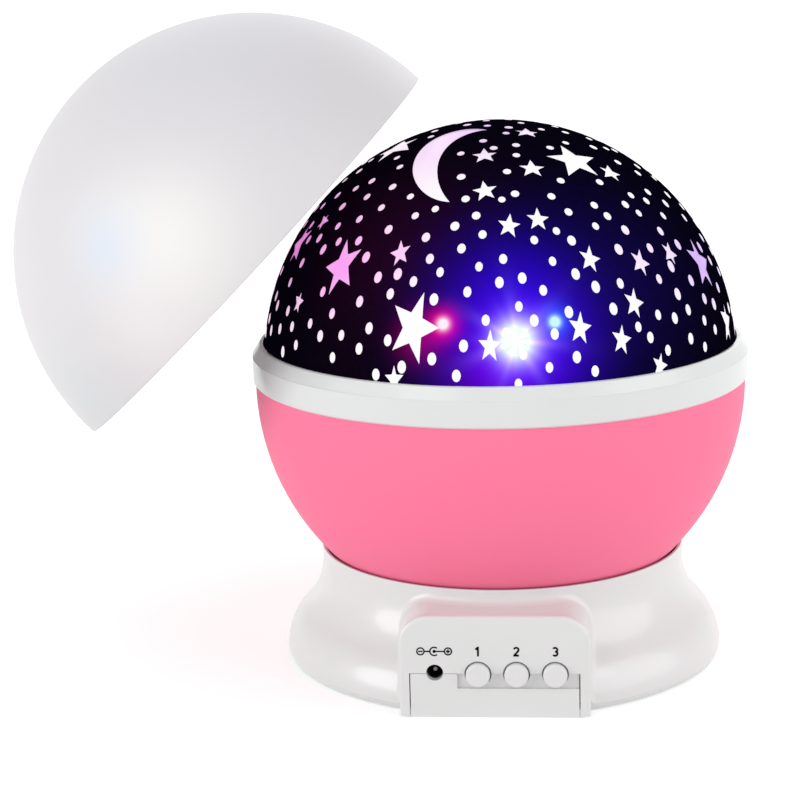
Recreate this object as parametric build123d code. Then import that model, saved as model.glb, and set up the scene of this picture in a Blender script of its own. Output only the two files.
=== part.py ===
from build123d import *
import math
import os

# Star night light: a globe that turns on a flared base, a star dome in its rim,
# and a frosted cover that has been lifted off and is held up beside the dome.
# Millimetres, +Z up. The origin lies on the floor under the globe's axis. The front is -Y.

# ---------------------------------------------------------------- driving dimensions
# Clearances
SLIP = 0.3             # between bodies that move past each other
FIT = 0.1              # between pieces of one body that plug together
RUNNING = 0.05         # radial running fit of a shaft in its bore
WASHER_PLAY = 0.1      # axial play over the thrust washer
CUT = 1.0              # how far a cut runs past the face that it opens

# Fasteners
SCREW_RADIUS = 1.1
SCREW_HEAD_RADIUS = 2.3
SCREW_HEAD = 1.5
SCREW_HEAD_INSET = 0.2
SCREW_SLOT = 0.5
SCREW_SLOT_SHARE = 0.45   # depth of the slot, as a share of the head
CASE_SCREW_LENGTH = 12.0
CASE_SCREW_GAP = 3.0      # from the bay's wall to a screw boss
CASE_BOSS_RADIUS = 3.2
DOOR_SCREW_LENGTH = 5.0
SMALL_SCREW_RADIUS = 0.8
SMALL_HEAD_RADIUS = 1.7
SMALL_HEAD = 1.1
SMALL_SCREW_LENGTH = 5.0
DECK_SCREW_LENGTH = 3.3

# Bottom cover, battery bay and door
COVER_PLATE = 2.0
CELL_RADIUS = 5.25
CELL_LENGTH = 44.5
CELL_EDGE = 0.5
CELL_NUB_RADIUS = 1.9
CELL_NUB = 1.0
CELL_COUNT = 4
CELL_GAP = 0.35
CONTACT = 0.4
CONTACT_WIDTH = 7.0
SPRING_LENGTH = 2.6
SPRING_RADIUS = 3.4
SPRING_TIP_RADIUS = 2.2
BAY_WALL = 1.4
BAY_CENTRE_Y = 2.0
DOOR_END = 9.0         # length of the door past the bay, for its screws
DOOR_INSET = 1.8       # ledge left along the sides of the bay

# Drive train: the motor stands beside the bay, and its distance sets the gears
GEAR_TEETH = 72
PINION_TEETH = 12
PRESSURE_ANGLE = 20.0
ADDENDUM = 0.7         # in modules
DEDENDUM = 1.05        # in modules
BACKLASH = 0.12
GEAR_THICKNESS = 2.6
GEAR_HOLE_GAP = 1.4    # between the gear's hole and the post's shoulder
GEAR_SCREW_CIRCLE = 19.0
GEAR_BOSS_RADIUS = 2.8
GEAR_BOSS = 4.5
PINION_TOP_GAP = 0.4
PINION_THICKNESS = 2.6
SHAFT_RADIUS = 1.0
SHAFT_DEPTH = 5.0      # how far the shaft reaches into the gearbox
GEARBOX_RADIUS = 8.5
GEARBOX_HEIGHT = 6.0
GEARBOX_BAY_GAP = 1.825
CAN_RADIUS = 7.5
CAN_HEIGHT = 9.5
CAN_EDGE = 1.0
EAR_STEP = 1.9         # from the gearbox to the middle of an ear
EAR_RADIUS = 3.0
EAR = 1.5

# Base shell: deck, neck and flared skirt
DECK_ROOM = 4.5        # between the bay's roof and the deck
DECK = 2.0
SHELL_WALL = 1.8
MOTOR_WALL_GAP = 2.0   # between the gearbox and the neck
NECK_WALL = 1.6
NECK_LIP = 0.6         # width of the lip left at the top of the neck
NECK_GAP = 0.6         # between that lip and the bowl
NECK_RISE = 3.3        # of the neck over the bowl's floor
NECK_HEIGHT = 3.8      # straight part of the neck
SKIRT_FLARE = 9.6
SKIRT_LOW_Z = 1.7      # height of the widest circle
SKIRT_FOOT_Z = 0.3
SKIRT_FOOT_INSET = 0.7
FLARE_SHARE = 0.56     # share of the flare that is hollow, the rest is round

# Front panel, from left to right: power inlet, then three buttons
JACK_MARGIN = 8.45
JACK_TO_BUTTON = 10.2
BUTTON_PITCH = 9.1
BUTTON_COUNT = 3
BUTTON_MARGIN = 8.25
BUTTON_Z = 10.7
JACK_Z = 11.1

# Control block at the front of the base
BLOCK_SETBACK = 0.5    # of its face behind the widest circle
BLOCK_RISE = 4.0       # of its top over the deck
BLOCK_CORNER = 6.8
BLOCK_EDGE = 0.9
BLOCK_BLEND = 2.2      # hollow blend between block and skirt
BLOCK_WALL = 2.0
SEAM_Z = 10.9          # parting line between base shell and bottom cover
FLAP_SIDE = 2.65       # side strip of the block left beside the flap
FLAP_GAP = 0.25
RECESS_DEPTH = 0.7     # shallow step in the flap around the buttons
RECESS_DROP = 3.6
RECESS_MARGIN = 4.9    # from the first button to the end of the step

# Push buttons
BUTTON_RADIUS = 2.85
BUTTON_GAP = 0.35
BUTTON_EDGE = 0.5
BUTTON_PROUD = 1.4
BUTTON_TRAVEL = 1.0
BUTTON_FLANGE = 0.95   # radial width of the flange behind the wall
BUTTON_FLANGE_DEPTH = 1.0
BUTTON_STEM_RADIUS = 1.4

# Power inlet
JACK_HOLE_RADIUS = 2.0
JACK_BARREL_RADIUS = 1.9
JACK_WIDTH = 9.0
JACK_SOCKET_DEPTH = 7.0
JACK_PIN_RADIUS = 0.65
JACK_PIN_SETBACK = 0.5

# Control board, standing behind the front wall
BOARD_SETBACK = 10.9   # from the front face to the board
BOARD = 1.6
BOARD_SIDE_GAP = 1.55
BOARD_LIFT = 1.2       # of its lower edge over the bottom plate
BOARD_POST_MARGIN = 2.0
BOARD_POST_DROP = 1.5
BOARD_POST_RADIUS = 1.5
SWITCH_SIZE = 6.0
SWITCH_DEPTH = 3.5
PLUNGER = 0.6
PLUNGER_RADIUS = 1.75
CHIP = (8.0, 1.2, 6.0)
CHIP_LIFT = 2.0

# Fixed post that carries the globe and the lamps
POST_RADIUS = 6.0
POST_WALL = 2.0
POST_FOOT = 1.6
POST_FOOT_WIDTH = 4.0
POST_SHOULDER = 3.0
WASHER = 0.6
BUSH_WALL = 1.95
HUB_WALL = 2.0
HUB_HEIGHT = 12.0
COLLAR = 2.4
COLLAR_WALL = 3.2
COLLAR_EDGE = 0.5

# Globe: rim ring, and the bowl under it
GLOBE_RISE = 4.2       # of the bowl's floor over the deck
RING_RADIUS = 62.0
RING_BAND = 6.6
RING_SLOPE = 2.9
RING_SHOULDER = 1.8    # how far the slope runs in
RING_LIP = 0.9         # width of the lip round the dome
RING_EDGE = 0.4
RING_CREASE = 0.2
RING_SEAT = 1.2
RING_SEAT_WIDTH = 2.6
SPIGOT_DEPTH = 3.0
SPIGOT_WALL = 1.3
SPIGOT_GAP = 0.2
BOWL_STEP = 0.6        # of the ring outside the bowl
BOWL_RIM_RISE = 1.1    # of the bowl's rim over its centre
BOWL_WALL = 1.6
BOWL_FLOOR = 1.8

# Star dome: clear shell with an opaque print on its outside
DOME_RISE = 4.2        # of its centre over the bowl's rim
DOME_WALL = 1.4
PRINT = 0.3
MOTIF_DEPTH = 6.0

# Lamp board on top of the post
LAMP_DROP = 2.9        # of the post's top under the dome's centre
PLATFORM = 1.5
PLATFORM_EDGE = 0.5
SOCKET_DEPTH = 6.0
SOCKET_WALL = 2.0
SOCKET_ROOF = 1.5
LAMP_BOARD_RADIUS = 18.5
LED_RADIUS = 2.5
LED_FLANGE_RADIUS = 2.9
LED_FLANGE = 1.0
LED_BODY = 3.6
LEDS = {"led_white": (-70.0, 6.8), "led_red": (167.5, 4.7),
        "led_blue": (16.5, 4.4), "led_green": (104.5, 4.6)}   # heading, inset from the board's edge
PLATFORM_SCREWS = ((-9.0, -11.0), (9.5, 11.5))

# Leads and the lamp cable
CABLE_RADIUS = 0.8
CABLE_BEND = 2.4
LEAD_RADIUS = 0.6
LEAD_DROP = 2.0        # of a battery lead under the bay's roof
LEAD_JOG = 3.0         # length of its bend
MOTOR_LEAD_DROPS = (3.0, 6.0)
MOTOR_LEAD_EXIT = 5.0
MOTOR_LEAD_BEND = 11.0
MOTOR_LEAD_END = 7.0
MOTOR_LEAD_MARGIN = 2.0

# Frosted cover, parked up and to the left of the dome
COVER_STEP = 0.5       # of the cover inside the ring
COVER_WALL = 1.2
COVER_EDGE = 0.3
COVER_AWAY = 9.77      # of its centre past the dome's radius
COVER_AWAY_HEADING = 167.83
COVER_AWAY_RISE = 20.46
COVER_HEADING = 182.25  # direction in which its crown points, from +X
COVER_RISE = 44.41      # height of that direction over the horizon

# Crescent, in degrees: direction of the bite's centre, its radius, the moon's radius and shift
BITE_AZIMUTH = -1.3
BITE_ELEVATION = 62.15
BITE_DEGREES = 11.91
MOON_DEGREES = 11.25
MOON_SHIFT_DEGREES = (-6.68, 2.44)
MOON_STRETCH = 1.43    # of both circles along the meridian

# Stars, in degrees: azimuth from the front towards +X, elevation, tip radius, turn
STAR_POINTS = 5
STAR_WAIST = 0.42
STRETCH = 0.42         # how much longer a motif is along the meridian near the rim
STRETCH_FROM = 58.0
STRETCH_TO = 28.0
STARS = (
    (42.7, 61.1, 7.30, 12), (-76.4, 64.9, 7.80, 5), (-43.7, 29.9, 5.60, -23),
    (-73.6, 31.9, 5.50, -25), (-18.1, 17.6, 6.10, 16), (69.6, 26.3, 5.60, 17),
    (75.4, 10.5, 4.85, 14), (-4.2, 65.3, 3.55, -8), (18.5, 59.5, 3.55, 9),
    (-2.1, 52.4, 3.25, -12), (5.8, 42.2, 2.85, 10), (15.0, 43.6, 2.85, 8),
    (55.8, 55.0, 3.55, 40), (35.2, 76.6, 3.95, 30), (-25.4, 34.7, 2.75, -19),
    (-65.1, 39.3, 2.75, 6), (-57.1, 19.4, 2.50, 4), (0.2, 13.9, 2.70, 3),
    (21.5, 17.0, 2.85, 12), (27.5, 32.6, 2.75, 19), (31.7, 13.4, 2.70, 15),
    (37.0, 21.2, 2.85, 20), (42.9, 30.3, 2.85, 30), (55.7, 31.0, 2.75, 34),
    (41.8, 6.2, 2.50, 20), (-22.1, 5.7, 2.50, -3), (97.0, 47.0, 5.05, 10),
    (92.0, 24.0, 2.52, 22), (110.0, 14.0, 4.86, -14), (121.0, 34.0, 2.62, 8),
    (136.0, 20.0, 2.52, 30), (141.0, 50.0, 3.11, -20), (158.0, 31.0, 5.24, 12),
    (160.0, 66.0, 5.63, 25), (174.0, 14.0, 2.52, 5), (186.0, 43.0, 2.72, -12),
    (201.0, 22.0, 5.24, 18), (214.0, 52.0, 3.11, 4), (223.0, 30.0, 2.52, 33),
    (236.0, 14.0, 2.52, -8), (243.0, 42.0, 5.05, 21), (262.0, 22.0, 2.52, 12),
    (268.0, 48.0, 2.91, -30), (229.0, 70.0, 3.50, 14),
)

# ---------------------------------------------------------------- derived sizes
BAY_WIDTH = CELL_COUNT * (2 * CELL_RADIUS + CELL_GAP) + CELL_GAP
BAY_LENGTH = CELL_LENGTH + 2 * CONTACT + SPRING_LENGTH + 2 * SLIP
BAY_TOP_Z = COVER_PLATE + 2 * CELL_RADIUS + 2 * SLIP
BAY_ROOF_Z = BAY_TOP_Z + BAY_WALL
BAY_BACK_Y = BAY_CENTRE_Y + BAY_LENGTH / 2
BAY_FRONT_Y = BAY_CENTRE_Y - BAY_LENGTH / 2
DOOR_WIDTH = BAY_WIDTH - 2 * DOOR_INSET
DOOR_LENGTH = BAY_LENGTH + 2 * DOOR_END
DOOR_SCREW_YS = (BAY_FRONT_Y - DOOR_END / 2, BAY_BACK_Y + DOOR_END / 2)
CASE_SCREW_OFFSET = BAY_WIDTH / 2 + BAY_WALL + CASE_SCREW_GAP + CASE_BOSS_RADIUS
PINION_X = BAY_WIDTH / 2 + BAY_WALL + GEARBOX_BAY_GAP + GEARBOX_RADIUS
GEAR_MODULE = 2 * PINION_X / (GEAR_TEETH + PINION_TEETH)
DECK_LOW_Z = BAY_ROOF_Z + DECK_ROOM
DECK_TOP_Z = DECK_LOW_Z + DECK
GEARBOX_Z = DECK_LOW_Z - GEARBOX_HEIGHT
BOWL_FLOOR_Z = DECK_TOP_Z + GLOBE_RISE
NECK_TOP_Z = BOWL_FLOOR_Z + NECK_RISE
NECK_FOOT_Z = NECK_TOP_Z - NECK_HEIGHT
NECK_RADIUS = PINION_X + GEARBOX_RADIUS + MOTOR_WALL_GAP + SHELL_WALL
SKIRT_RADIUS = NECK_RADIUS + SKIRT_FLARE
COVER_PLATE_RADIUS = SKIRT_RADIUS - SHELL_WALL - SLIP
BLOCK_WIDTH = JACK_MARGIN + JACK_TO_BUTTON + (BUTTON_COUNT - 1) * BUTTON_PITCH + BUTTON_MARGIN
BLOCK_HEIGHT = DECK_TOP_Z + BLOCK_RISE
BLOCK_Y = BLOCK_SETBACK - SKIRT_RADIUS
JACK_X = JACK_MARGIN - BLOCK_WIDTH / 2
BUTTON_XS = [JACK_X + JACK_TO_BUTTON + BUTTON_PITCH * i for i in range(BUTTON_COUNT)]
FLAP_WIDTH = BLOCK_WIDTH - 2 * FLAP_SIDE
WALL_BACK_Y = BLOCK_Y + BLOCK_WALL
BOARD_Y = BLOCK_Y + BOARD_SETBACK
BOARD_BACK_Y = BOARD_Y + BOARD
BOARD_WIDTH = BLOCK_WIDTH - 2 * (BLOCK_WALL + BOARD_SIDE_GAP)
BOARD_LOW_Z = COVER_PLATE + BOARD_LIFT
BOARD_TOP_Z = DECK_LOW_Z - SLIP
BOARD_POST_XS = (BUTTON_XS[0] - SWITCH_SIZE / 2, BOARD_WIDTH / 2 - BOARD_POST_MARGIN)
BOARD_POST_Z = BOARD_TOP_Z - BOARD_POST_DROP
CABLE_Z = (BAY_ROOF_Z + DECK_LOW_Z - POST_FOOT) / 2
POST_BORE_RADIUS = POST_RADIUS - POST_WALL
POST_SHOULDER_RADIUS = POST_RADIUS + POST_SHOULDER
POST_FOOT_RADIUS = POST_SHOULDER_RADIUS + POST_FOOT_WIDTH
POST_SCREW_CIRCLE = (POST_SHOULDER_RADIUS + POST_FOOT_RADIUS) / 2
BUSH_RADIUS = POST_RADIUS + RUNNING + BUSH_WALL
HUB_RADIUS = BUSH_RADIUS + HUB_WALL
COLLAR_RADIUS = POST_RADIUS + COLLAR_WALL
SHOULDER_Z = BOWL_FLOOR_Z - WASHER_PLAY - WASHER
HUB_TOP_Z = BOWL_FLOOR_Z + HUB_HEIGHT
GEAR_Z = BOWL_FLOOR_Z - GEAR_THICKNESS
GEAR_HOLE_RADIUS = POST_SHOULDER_RADIUS + GEAR_HOLE_GAP
PINION_TOP_Z = BOWL_FLOOR_Z - PINION_TOP_GAP
RING_LIP_RADIUS = RING_RADIUS - RING_SHOULDER
RING_BORE_RADIUS = RING_LIP_RADIUS - RING_LIP
DOME_RADIUS = RING_BORE_RADIUS - SLIP
BOWL_RADIUS = RING_RADIUS - BOWL_STEP
BOWL_AT_NECK = NECK_RADIUS - NECK_LIP - NECK_GAP
BOWL_CENTRE_Z = NECK_TOP_Z + math.sqrt(BOWL_RADIUS ** 2 - BOWL_AT_NECK ** 2)
BOWL_RIM_Z = BOWL_CENTRE_Z + BOWL_RIM_RISE
RING_TOP_Z = BOWL_RIM_Z + RING_BAND + RING_SLOPE
DOME_CENTRE_Z = BOWL_RIM_Z + DOME_RISE
DOME_FOOT_Z = BOWL_RIM_Z + RING_SEAT + FIT
POST_TOP_Z = DOME_CENTRE_Z - LAMP_DROP
PLATFORM_Z = POST_TOP_Z + SOCKET_ROOF
PLATFORM_RADIUS = LAMP_BOARD_RADIUS + PLATFORM_EDGE
LAMP_BOARD_Z = PLATFORM_Z + PLATFORM
LAMP_TOP_Z = LAMP_BOARD_Z + BOARD
COVER_RADIUS = RING_RADIUS - COVER_STEP
REACH = 2 * RING_RADIUS   # farther than any piece goes from the axis


# ---------------------------------------------------------------- helpers
def tube(outer, inner, low, high):
    """Upright round tube on the axis."""
    body = Pos(0, 0, low) * Cylinder(outer, high - low, align=(Align.CENTER, Align.CENTER, Align.MIN))
    return body - rod(inner, low - CUT, high + CUT)


def rod(radius, low, high, x=0.0, y=0.0):
    """Upright round rod."""
    return Pos(x, y, low) * Cylinder(radius, high - low, align=(Align.CENTER, Align.CENTER, Align.MIN))


def front_plane(y):
    """Plane facing -Y at the given depth, with X to the right and Z up."""
    return Plane(origin=(0, y, 0), x_dir=(1, 0, 0), z_dir=(0, -1, 0))


def front_rod(radius, front_y, back_y, x, z):
    """Round rod along Y."""
    return extrude(front_plane(back_y) * Pos(x, z) * Circle(radius), amount=back_y - front_y)


def block(x0, x1, y0, y1, z0, z1):
    """Box between two corners."""
    centre = ((x0 + x1) / 2, (y0 + y1) / 2, (z0 + z1) / 2)
    return Pos(*centre) * Box(x1 - x0, y1 - y0, z1 - z0)


def screw_up(x, y, seat_z, length, radius, head_radius, head):
    """Screw driven upwards, with its head under the seat."""
    shank = rod(radius, seat_z, seat_z + length, x, y)
    cap = rod(head_radius, seat_z - head, seat_z, x, y)
    half = SCREW_SLOT / 2
    foot = seat_z - head
    slot = block(x - head_radius, x + head_radius, y - half, y + half, foot, foot + SCREW_SLOT_SHARE * head)
    return shank + cap - slot


def sunk_head(radius, head_radius, head, seat_z, x, y):
    """Hole for a screw with a round step for its head under the seat."""
    hole = rod(radius + FIT, seat_z - head - CUT, seat_z + CUT, x, y)
    return hole + rod(head_radius + FIT, seat_z - head - CUT, seat_z, x, y)


def ring_points(count, circle, start=0.0):
    """Points evenly spaced on a circle about the axis."""
    angles = [math.radians(start + 360 * i / count) for i in range(count)]
    return [(circle * math.cos(a), circle * math.sin(a)) for a in angles]


def lead(points, radius, bend=None):
    """Round lead along straight runs joined by tangent arcs."""
    route = [Vector(*p) for p in points]
    runs = [(b - a).length for a, b in zip(route, route[1:])]
    radii = []
    for i in range(1, len(route) - 1):
        turn = math.radians((route[i] - route[i - 1]).get_angle(route[i + 1] - route[i]))
        radii.append(bend or 0.45 * min(runs[i - 1], runs[i]) / math.tan(turn / 2))
    path = FilletPolyline(*route, radius=radii) if radii else Line(*route)
    start = Plane(origin=route[0], z_dir=route[1] - route[0])
    return sweep(start * Circle(radius), path=path)


def gear_outline(teeth, phase):
    """Closed outline of a spur gear with a tooth centred at the phase angle."""
    pitch = teeth * GEAR_MODULE / 2
    base = pitch * math.cos(math.radians(PRESSURE_ANGLE))
    tip = pitch + ADDENDUM * GEAR_MODULE
    root = pitch - DEDENDUM * GEAR_MODULE

    def flank(radius):
        """Half the angle of the tooth at a radius."""
        def involute(r):
            roll = math.acos(min(1.0, base / r))
            return math.tan(roll) - roll
        half = (math.pi / 2 - BACKLASH / GEAR_MODULE) / teeth
        return half + involute(pitch) - involute(max(radius, base))

    levels = [root, max(base, root + 0.01), (base + tip) / 2, tip]
    levels = sorted(set(levels))
    points = []
    for i in range(teeth):
        middle = phase + 2 * math.pi * i / teeth
        side = [(r, middle - flank(r)) for r in levels]
        side += [(r, middle + flank(r)) for r in reversed(levels)]
        points += [(r * math.cos(a), r * math.sin(a)) for r, a in side]
    return make_face(Polyline(*points, close=True))


# ---------------------------------------------------------------- base
def skirt_solid(inset, low, high, foot_inset=0.0):
    """Solid of revolution inside the neck and skirt, inset from their outside."""
    drop = NECK_FOOT_Z - SKIRT_LOW_Z
    spread = SKIRT_RADIUS - NECK_RADIUS
    sweep_angle = 2 * math.atan2(spread, drop)
    both = drop / math.sin(sweep_angle)
    hollow = FLARE_SHARE * both + inset
    round_ = (1 - FLARE_SHARE) * both - inset
    neck = NECK_RADIUS - inset
    foot = SKIRT_RADIUS - inset

    def hollow_point(angle):
        return neck + hollow * (1 - math.cos(angle)), NECK_FOOT_Z - hollow * math.sin(angle)

    def round_point(angle):
        return foot - round_ * (1 - math.cos(angle)), SKIRT_LOW_Z + round_ * math.sin(angle)

    upper = ThreePointArc(hollow_point(0), hollow_point(sweep_angle / 2), hollow_point(sweep_angle))
    lower = ThreePointArc(round_point(sweep_angle), round_point(sweep_angle / 2), round_point(0))
    inner_foot = (foot - foot_inset, low)
    edge = Polyline(round_point(0), inner_foot, (0, low), (0, high), (neck, high), hollow_point(0))
    face = make_face(upper + lower + edge)
    return revolve(Plane.XZ * face, axis=Axis.Z)


def block_solid(inset, back_y, low):
    """Control block, inset from its outside, with rounded upper corners."""
    width = BLOCK_WIDTH - 2 * inset
    top = BLOCK_HEIGHT - inset
    outline = Pos(0, (low + top) / 2) * Rectangle(width, top - low)
    outline = fillet(outline.vertices().group_by(Axis.Y)[-1], BLOCK_CORNER - inset)
    return extrude(front_plane(back_y) * outline, amount=back_y - BLOCK_Y - inset)


def base_outside():
    """Outer form of the base: skirt and control block, blended where they meet."""
    skirt = skirt_solid(0.0, SKIRT_FOOT_Z, NECK_TOP_Z, SKIRT_FOOT_INSET)
    front = block_solid(0.0, -NECK_RADIUS / 2, SKIRT_FOOT_Z)
    rim = [e for e in front.edges() if abs(e.center().Y - BLOCK_Y) < FIT and e.center().Z > SKIRT_LOW_Z]
    front = fillet(rim, BLOCK_EDGE)
    joined = skirt + front
    meeting = [e for e in joined.edges() if is_meeting_edge(e)]
    return fillet(meeting, BLOCK_BLEND)


def is_meeting_edge(edge):
    """Is this an edge along which the block's sides leave the skirt?"""
    middle = edge.position_at(0.5)
    reach = math.hypot(middle.X, middle.Y)
    on_side = abs(abs(middle.X) - BLOCK_WIDTH / 2) < FIT
    behind_face = middle.Y > BLOCK_Y + 2 * BLOCK_EDGE
    return on_side and behind_face and reach > NECK_RADIUS + NECK_LIP and middle.Z > SKIRT_LOW_Z


def base_cavity():
    """Hollow under the deck and inside the control block."""
    low = SKIRT_FOOT_Z - CUT
    under_deck = skirt_solid(SHELL_WALL, low, NECK_TOP_Z)
    under_deck &= block(-REACH, REACH, -REACH, REACH, low, DECK_LOW_Z)
    front = block_solid(BLOCK_WALL, -NECK_RADIUS / 2, low)
    front -= rod(NECK_RADIUS, DECK_LOW_Z, NECK_TOP_Z)
    return under_deck + front


def case_screw_places():
    """Centres of the four screws that hold the bottom cover."""
    return [(x, y) for x in (-CASE_SCREW_OFFSET, CASE_SCREW_OFFSET)
            for y in (-CASE_SCREW_OFFSET, CASE_SCREW_OFFSET)]


def post_screw_places():
    """Centres of the three screws in the post's foot."""
    return ring_points(3, POST_SCREW_CIRCLE, 90)


def gear_screw_places():
    """Centres of the three screws that hold the gear to the bowl."""
    return ring_points(3, GEAR_SCREW_CIRCLE, 30)


def ear_places():
    """Centres of the two motor screws."""
    offset = GEARBOX_RADIUS + EAR_STEP
    return [(PINION_X, -offset), (PINION_X, offset)]


def make_base_shell():
    shell = base_outside() - base_cavity()
    cup_radius = NECK_RADIUS - NECK_WALL
    cup = rod(cup_radius, DECK_TOP_Z, NECK_TOP_Z + CUT)
    flare = Pos(0, 0, NECK_TOP_Z) * Cone(cup_radius, NECK_RADIUS - NECK_LIP, NECK_WALL,
                                         align=(Align.CENTER, Align.CENTER, Align.MAX))
    shell -= cup + flare
    boss_low = COVER_PLATE + FIT
    for x, y in case_screw_places():
        shell += rod(CASE_BOSS_RADIUS, boss_low, DECK_LOW_Z + DECK / 2, x, y)
    for x, y in case_screw_places():
        shell -= rod(SCREW_RADIUS + FIT, boss_low - CUT, COVER_PLATE + CASE_SCREW_LENGTH, x, y)
    screw_end = BOARD_BACK_Y - SMALL_SCREW_LENGTH - FIT
    for x in BOARD_POST_XS:
        shell += front_rod(BOARD_POST_RADIUS, WALL_BACK_Y - FIT, BOARD_Y, x, BOARD_POST_Z)
        shell -= front_rod(SMALL_SCREW_RADIUS + FIT, screw_end, BOARD_Y, x, BOARD_POST_Z)
    shell -= rod(POST_SHOULDER_RADIUS + FIT, DECK_LOW_Z - CUT, DECK_TOP_Z + CUT)
    shell -= rod(SHAFT_RADIUS + SLIP, DECK_LOW_Z - CUT, DECK_TOP_Z + CUT, PINION_X)
    shell -= deck_holes(post_screw_places(), POST_FOOT)
    shell -= deck_holes(ear_places(), EAR)
    half = FLAP_WIDTH / 2 + FLAP_GAP
    shell -= block(-half, half, BLOCK_Y - CUT, WALL_BACK_Y + CUT, -CUT, SEAM_Z)
    return shell - front_holes()


def deck_holes(places, held):
    """Blind holes in the underside of the deck for screws through a held thickness."""
    top = DECK_LOW_Z + DECK_SCREW_LENGTH - held + FIT
    holes = [rod(SMALL_SCREW_RADIUS + FIT / 2, DECK_LOW_Z - CUT, top, x, y) for x, y in places]
    return Compound(children=holes)


def front_holes():
    """Holes through the front wall for the buttons and the power plug."""
    holes = front_rod(JACK_HOLE_RADIUS, BLOCK_Y - CUT, WALL_BACK_Y + CUT, JACK_X, JACK_Z)
    for x in BUTTON_XS:
        holes += front_rod(BUTTON_RADIUS + BUTTON_GAP, BLOCK_Y - CUT, WALL_BACK_Y + CUT, x, BUTTON_Z)
    return holes


def make_bottom_cover():
    cover = rod(COVER_PLATE_RADIUS, 0, COVER_PLATE)
    half = FLAP_WIDTH / 2
    flap_top = SEAM_Z - FLAP_GAP / 2
    recess = (BUTTON_XS[0] - RECESS_MARGIN, half, BLOCK_Y - CUT, BLOCK_Y + RECESS_DEPTH)
    cover += block(-half, half, BLOCK_Y, -NECK_RADIUS / 2, 0, COVER_PLATE)
    cover += block(-half, half, BLOCK_Y, WALL_BACK_Y, 0, flap_top)
    cover -= block(*recess, flap_top - RECESS_DROP, flap_top)
    cover -= front_holes()
    x = BAY_WIDTH / 2
    w = BAY_WALL
    cover += block(-x - w, x + w, BAY_FRONT_Y - w, BAY_BACK_Y + w, COVER_PLATE, BAY_ROOF_Z)
    cover -= block(-x, x, BAY_FRONT_Y, BAY_BACK_Y, COVER_PLATE, BAY_TOP_Z)
    door_x = DOOR_WIDTH / 2 + SLIP
    door_y = DOOR_LENGTH / 2 + SLIP
    middle = BAY_CENTRE_Y
    rebate = COVER_PLATE / 2 + FIT
    cover -= block(-door_x, door_x, BAY_FRONT_Y, BAY_BACK_Y, -CUT, COVER_PLATE)
    cover -= block(-door_x, door_x, middle - door_y, middle + door_y, -CUT, rebate)
    for y in DOOR_SCREW_YS:
        cover += rod(CASE_BOSS_RADIUS, rebate, COVER_PLATE + DOOR_SCREW_LENGTH, 0, y)
        cover -= rod(SCREW_RADIUS + SLIP, 0, COVER_PLATE / 2 + DOOR_SCREW_LENGTH + SLIP, 0, y)
    for x, y in case_screw_places():
        cover -= sunk_head(SCREW_RADIUS, SCREW_HEAD_RADIUS, SCREW_HEAD, SCREW_HEAD, x, y)
    return cover


def make_battery_door():
    """Door flush with the underside, thin past the bay where its screws sit."""
    x = DOOR_WIDTH / 2
    y = DOOR_LENGTH / 2
    door = block(-x, x, BAY_CENTRE_Y - y, BAY_CENTRE_Y + y, 0, COVER_PLATE / 2)
    door += block(-x, x, BAY_FRONT_Y + SLIP, BAY_BACK_Y - SLIP, 0, COVER_PLATE)
    head = COVER_PLATE / 4
    for screw_y in DOOR_SCREW_YS:
        door -= sunk_head(SCREW_RADIUS, SCREW_HEAD_RADIUS, head, head, 0, screw_y)
    return door


def make_door_screws():
    head = COVER_PLATE / 4
    return [screw_up(0, y, head, DOOR_SCREW_LENGTH, SCREW_RADIUS, SCREW_HEAD_RADIUS, head)
            for y in DOOR_SCREW_YS]


def make_case_screws():
    head = SCREW_HEAD - SCREW_HEAD_INSET
    return [screw_up(x, y, SCREW_HEAD, CASE_SCREW_LENGTH, SCREW_RADIUS, SCREW_HEAD_RADIUS, head)
            for x, y in case_screw_places()]


def cell_places():
    """X of each battery, and whether it faces back."""
    pitch = 2 * CELL_RADIUS + CELL_GAP
    first = -pitch * (CELL_COUNT - 1) / 2
    return [(first + pitch * i, i % 2 == 1) for i in range(CELL_COUNT)]


def in_bay(shape, x, faces_back):
    """Place a shape drawn about the bay's centre line."""
    turn = 180 if faces_back else 0
    return Pos(x, BAY_CENTRE_Y, COVER_PLATE + CELL_RADIUS + SLIP) * Rot(0, 0, turn) * shape


def along_y(shape):
    """Turn a shape drawn along Z so that it lies along Y."""
    return Rot(-90, 0, 0) * shape


def make_battery_cells():
    start = -BAY_LENGTH / 2 + CONTACT + SLIP
    can = Pos(0, 0, start + CELL_NUB) * Cylinder(CELL_RADIUS, CELL_LENGTH - CELL_NUB,
                                                 align=(Align.CENTER, Align.CENTER, Align.MIN))
    can = fillet(can.edges(), CELL_EDGE)
    cell = can + rod(CELL_NUB_RADIUS, start, start + CELL_NUB)
    return [in_bay(along_y(cell), x, back) for x, back in cell_places()]


def make_battery_contacts():
    """A flat tab against each nub and a tab with a cone spring against each can."""
    half = BAY_LENGTH / 2
    width = CONTACT_WIDTH / 2
    tab = block(-width, width, -half, -half + CONTACT, -width, width)
    spring_tab = block(-width, width, half - CONTACT, half, -width, width)
    spring = Cone(SPRING_TIP_RADIUS, SPRING_RADIUS, SPRING_LENGTH,
                  align=(Align.CENTER, Align.CENTER, Align.MAX))
    spring = Pos(0, 0, half - CONTACT) * spring
    pieces = []
    for x, back in cell_places():
        pieces.append(in_bay(tab, x, back))
        pieces.append(in_bay(spring_tab + along_y(spring), x, back))
    return pieces


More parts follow.
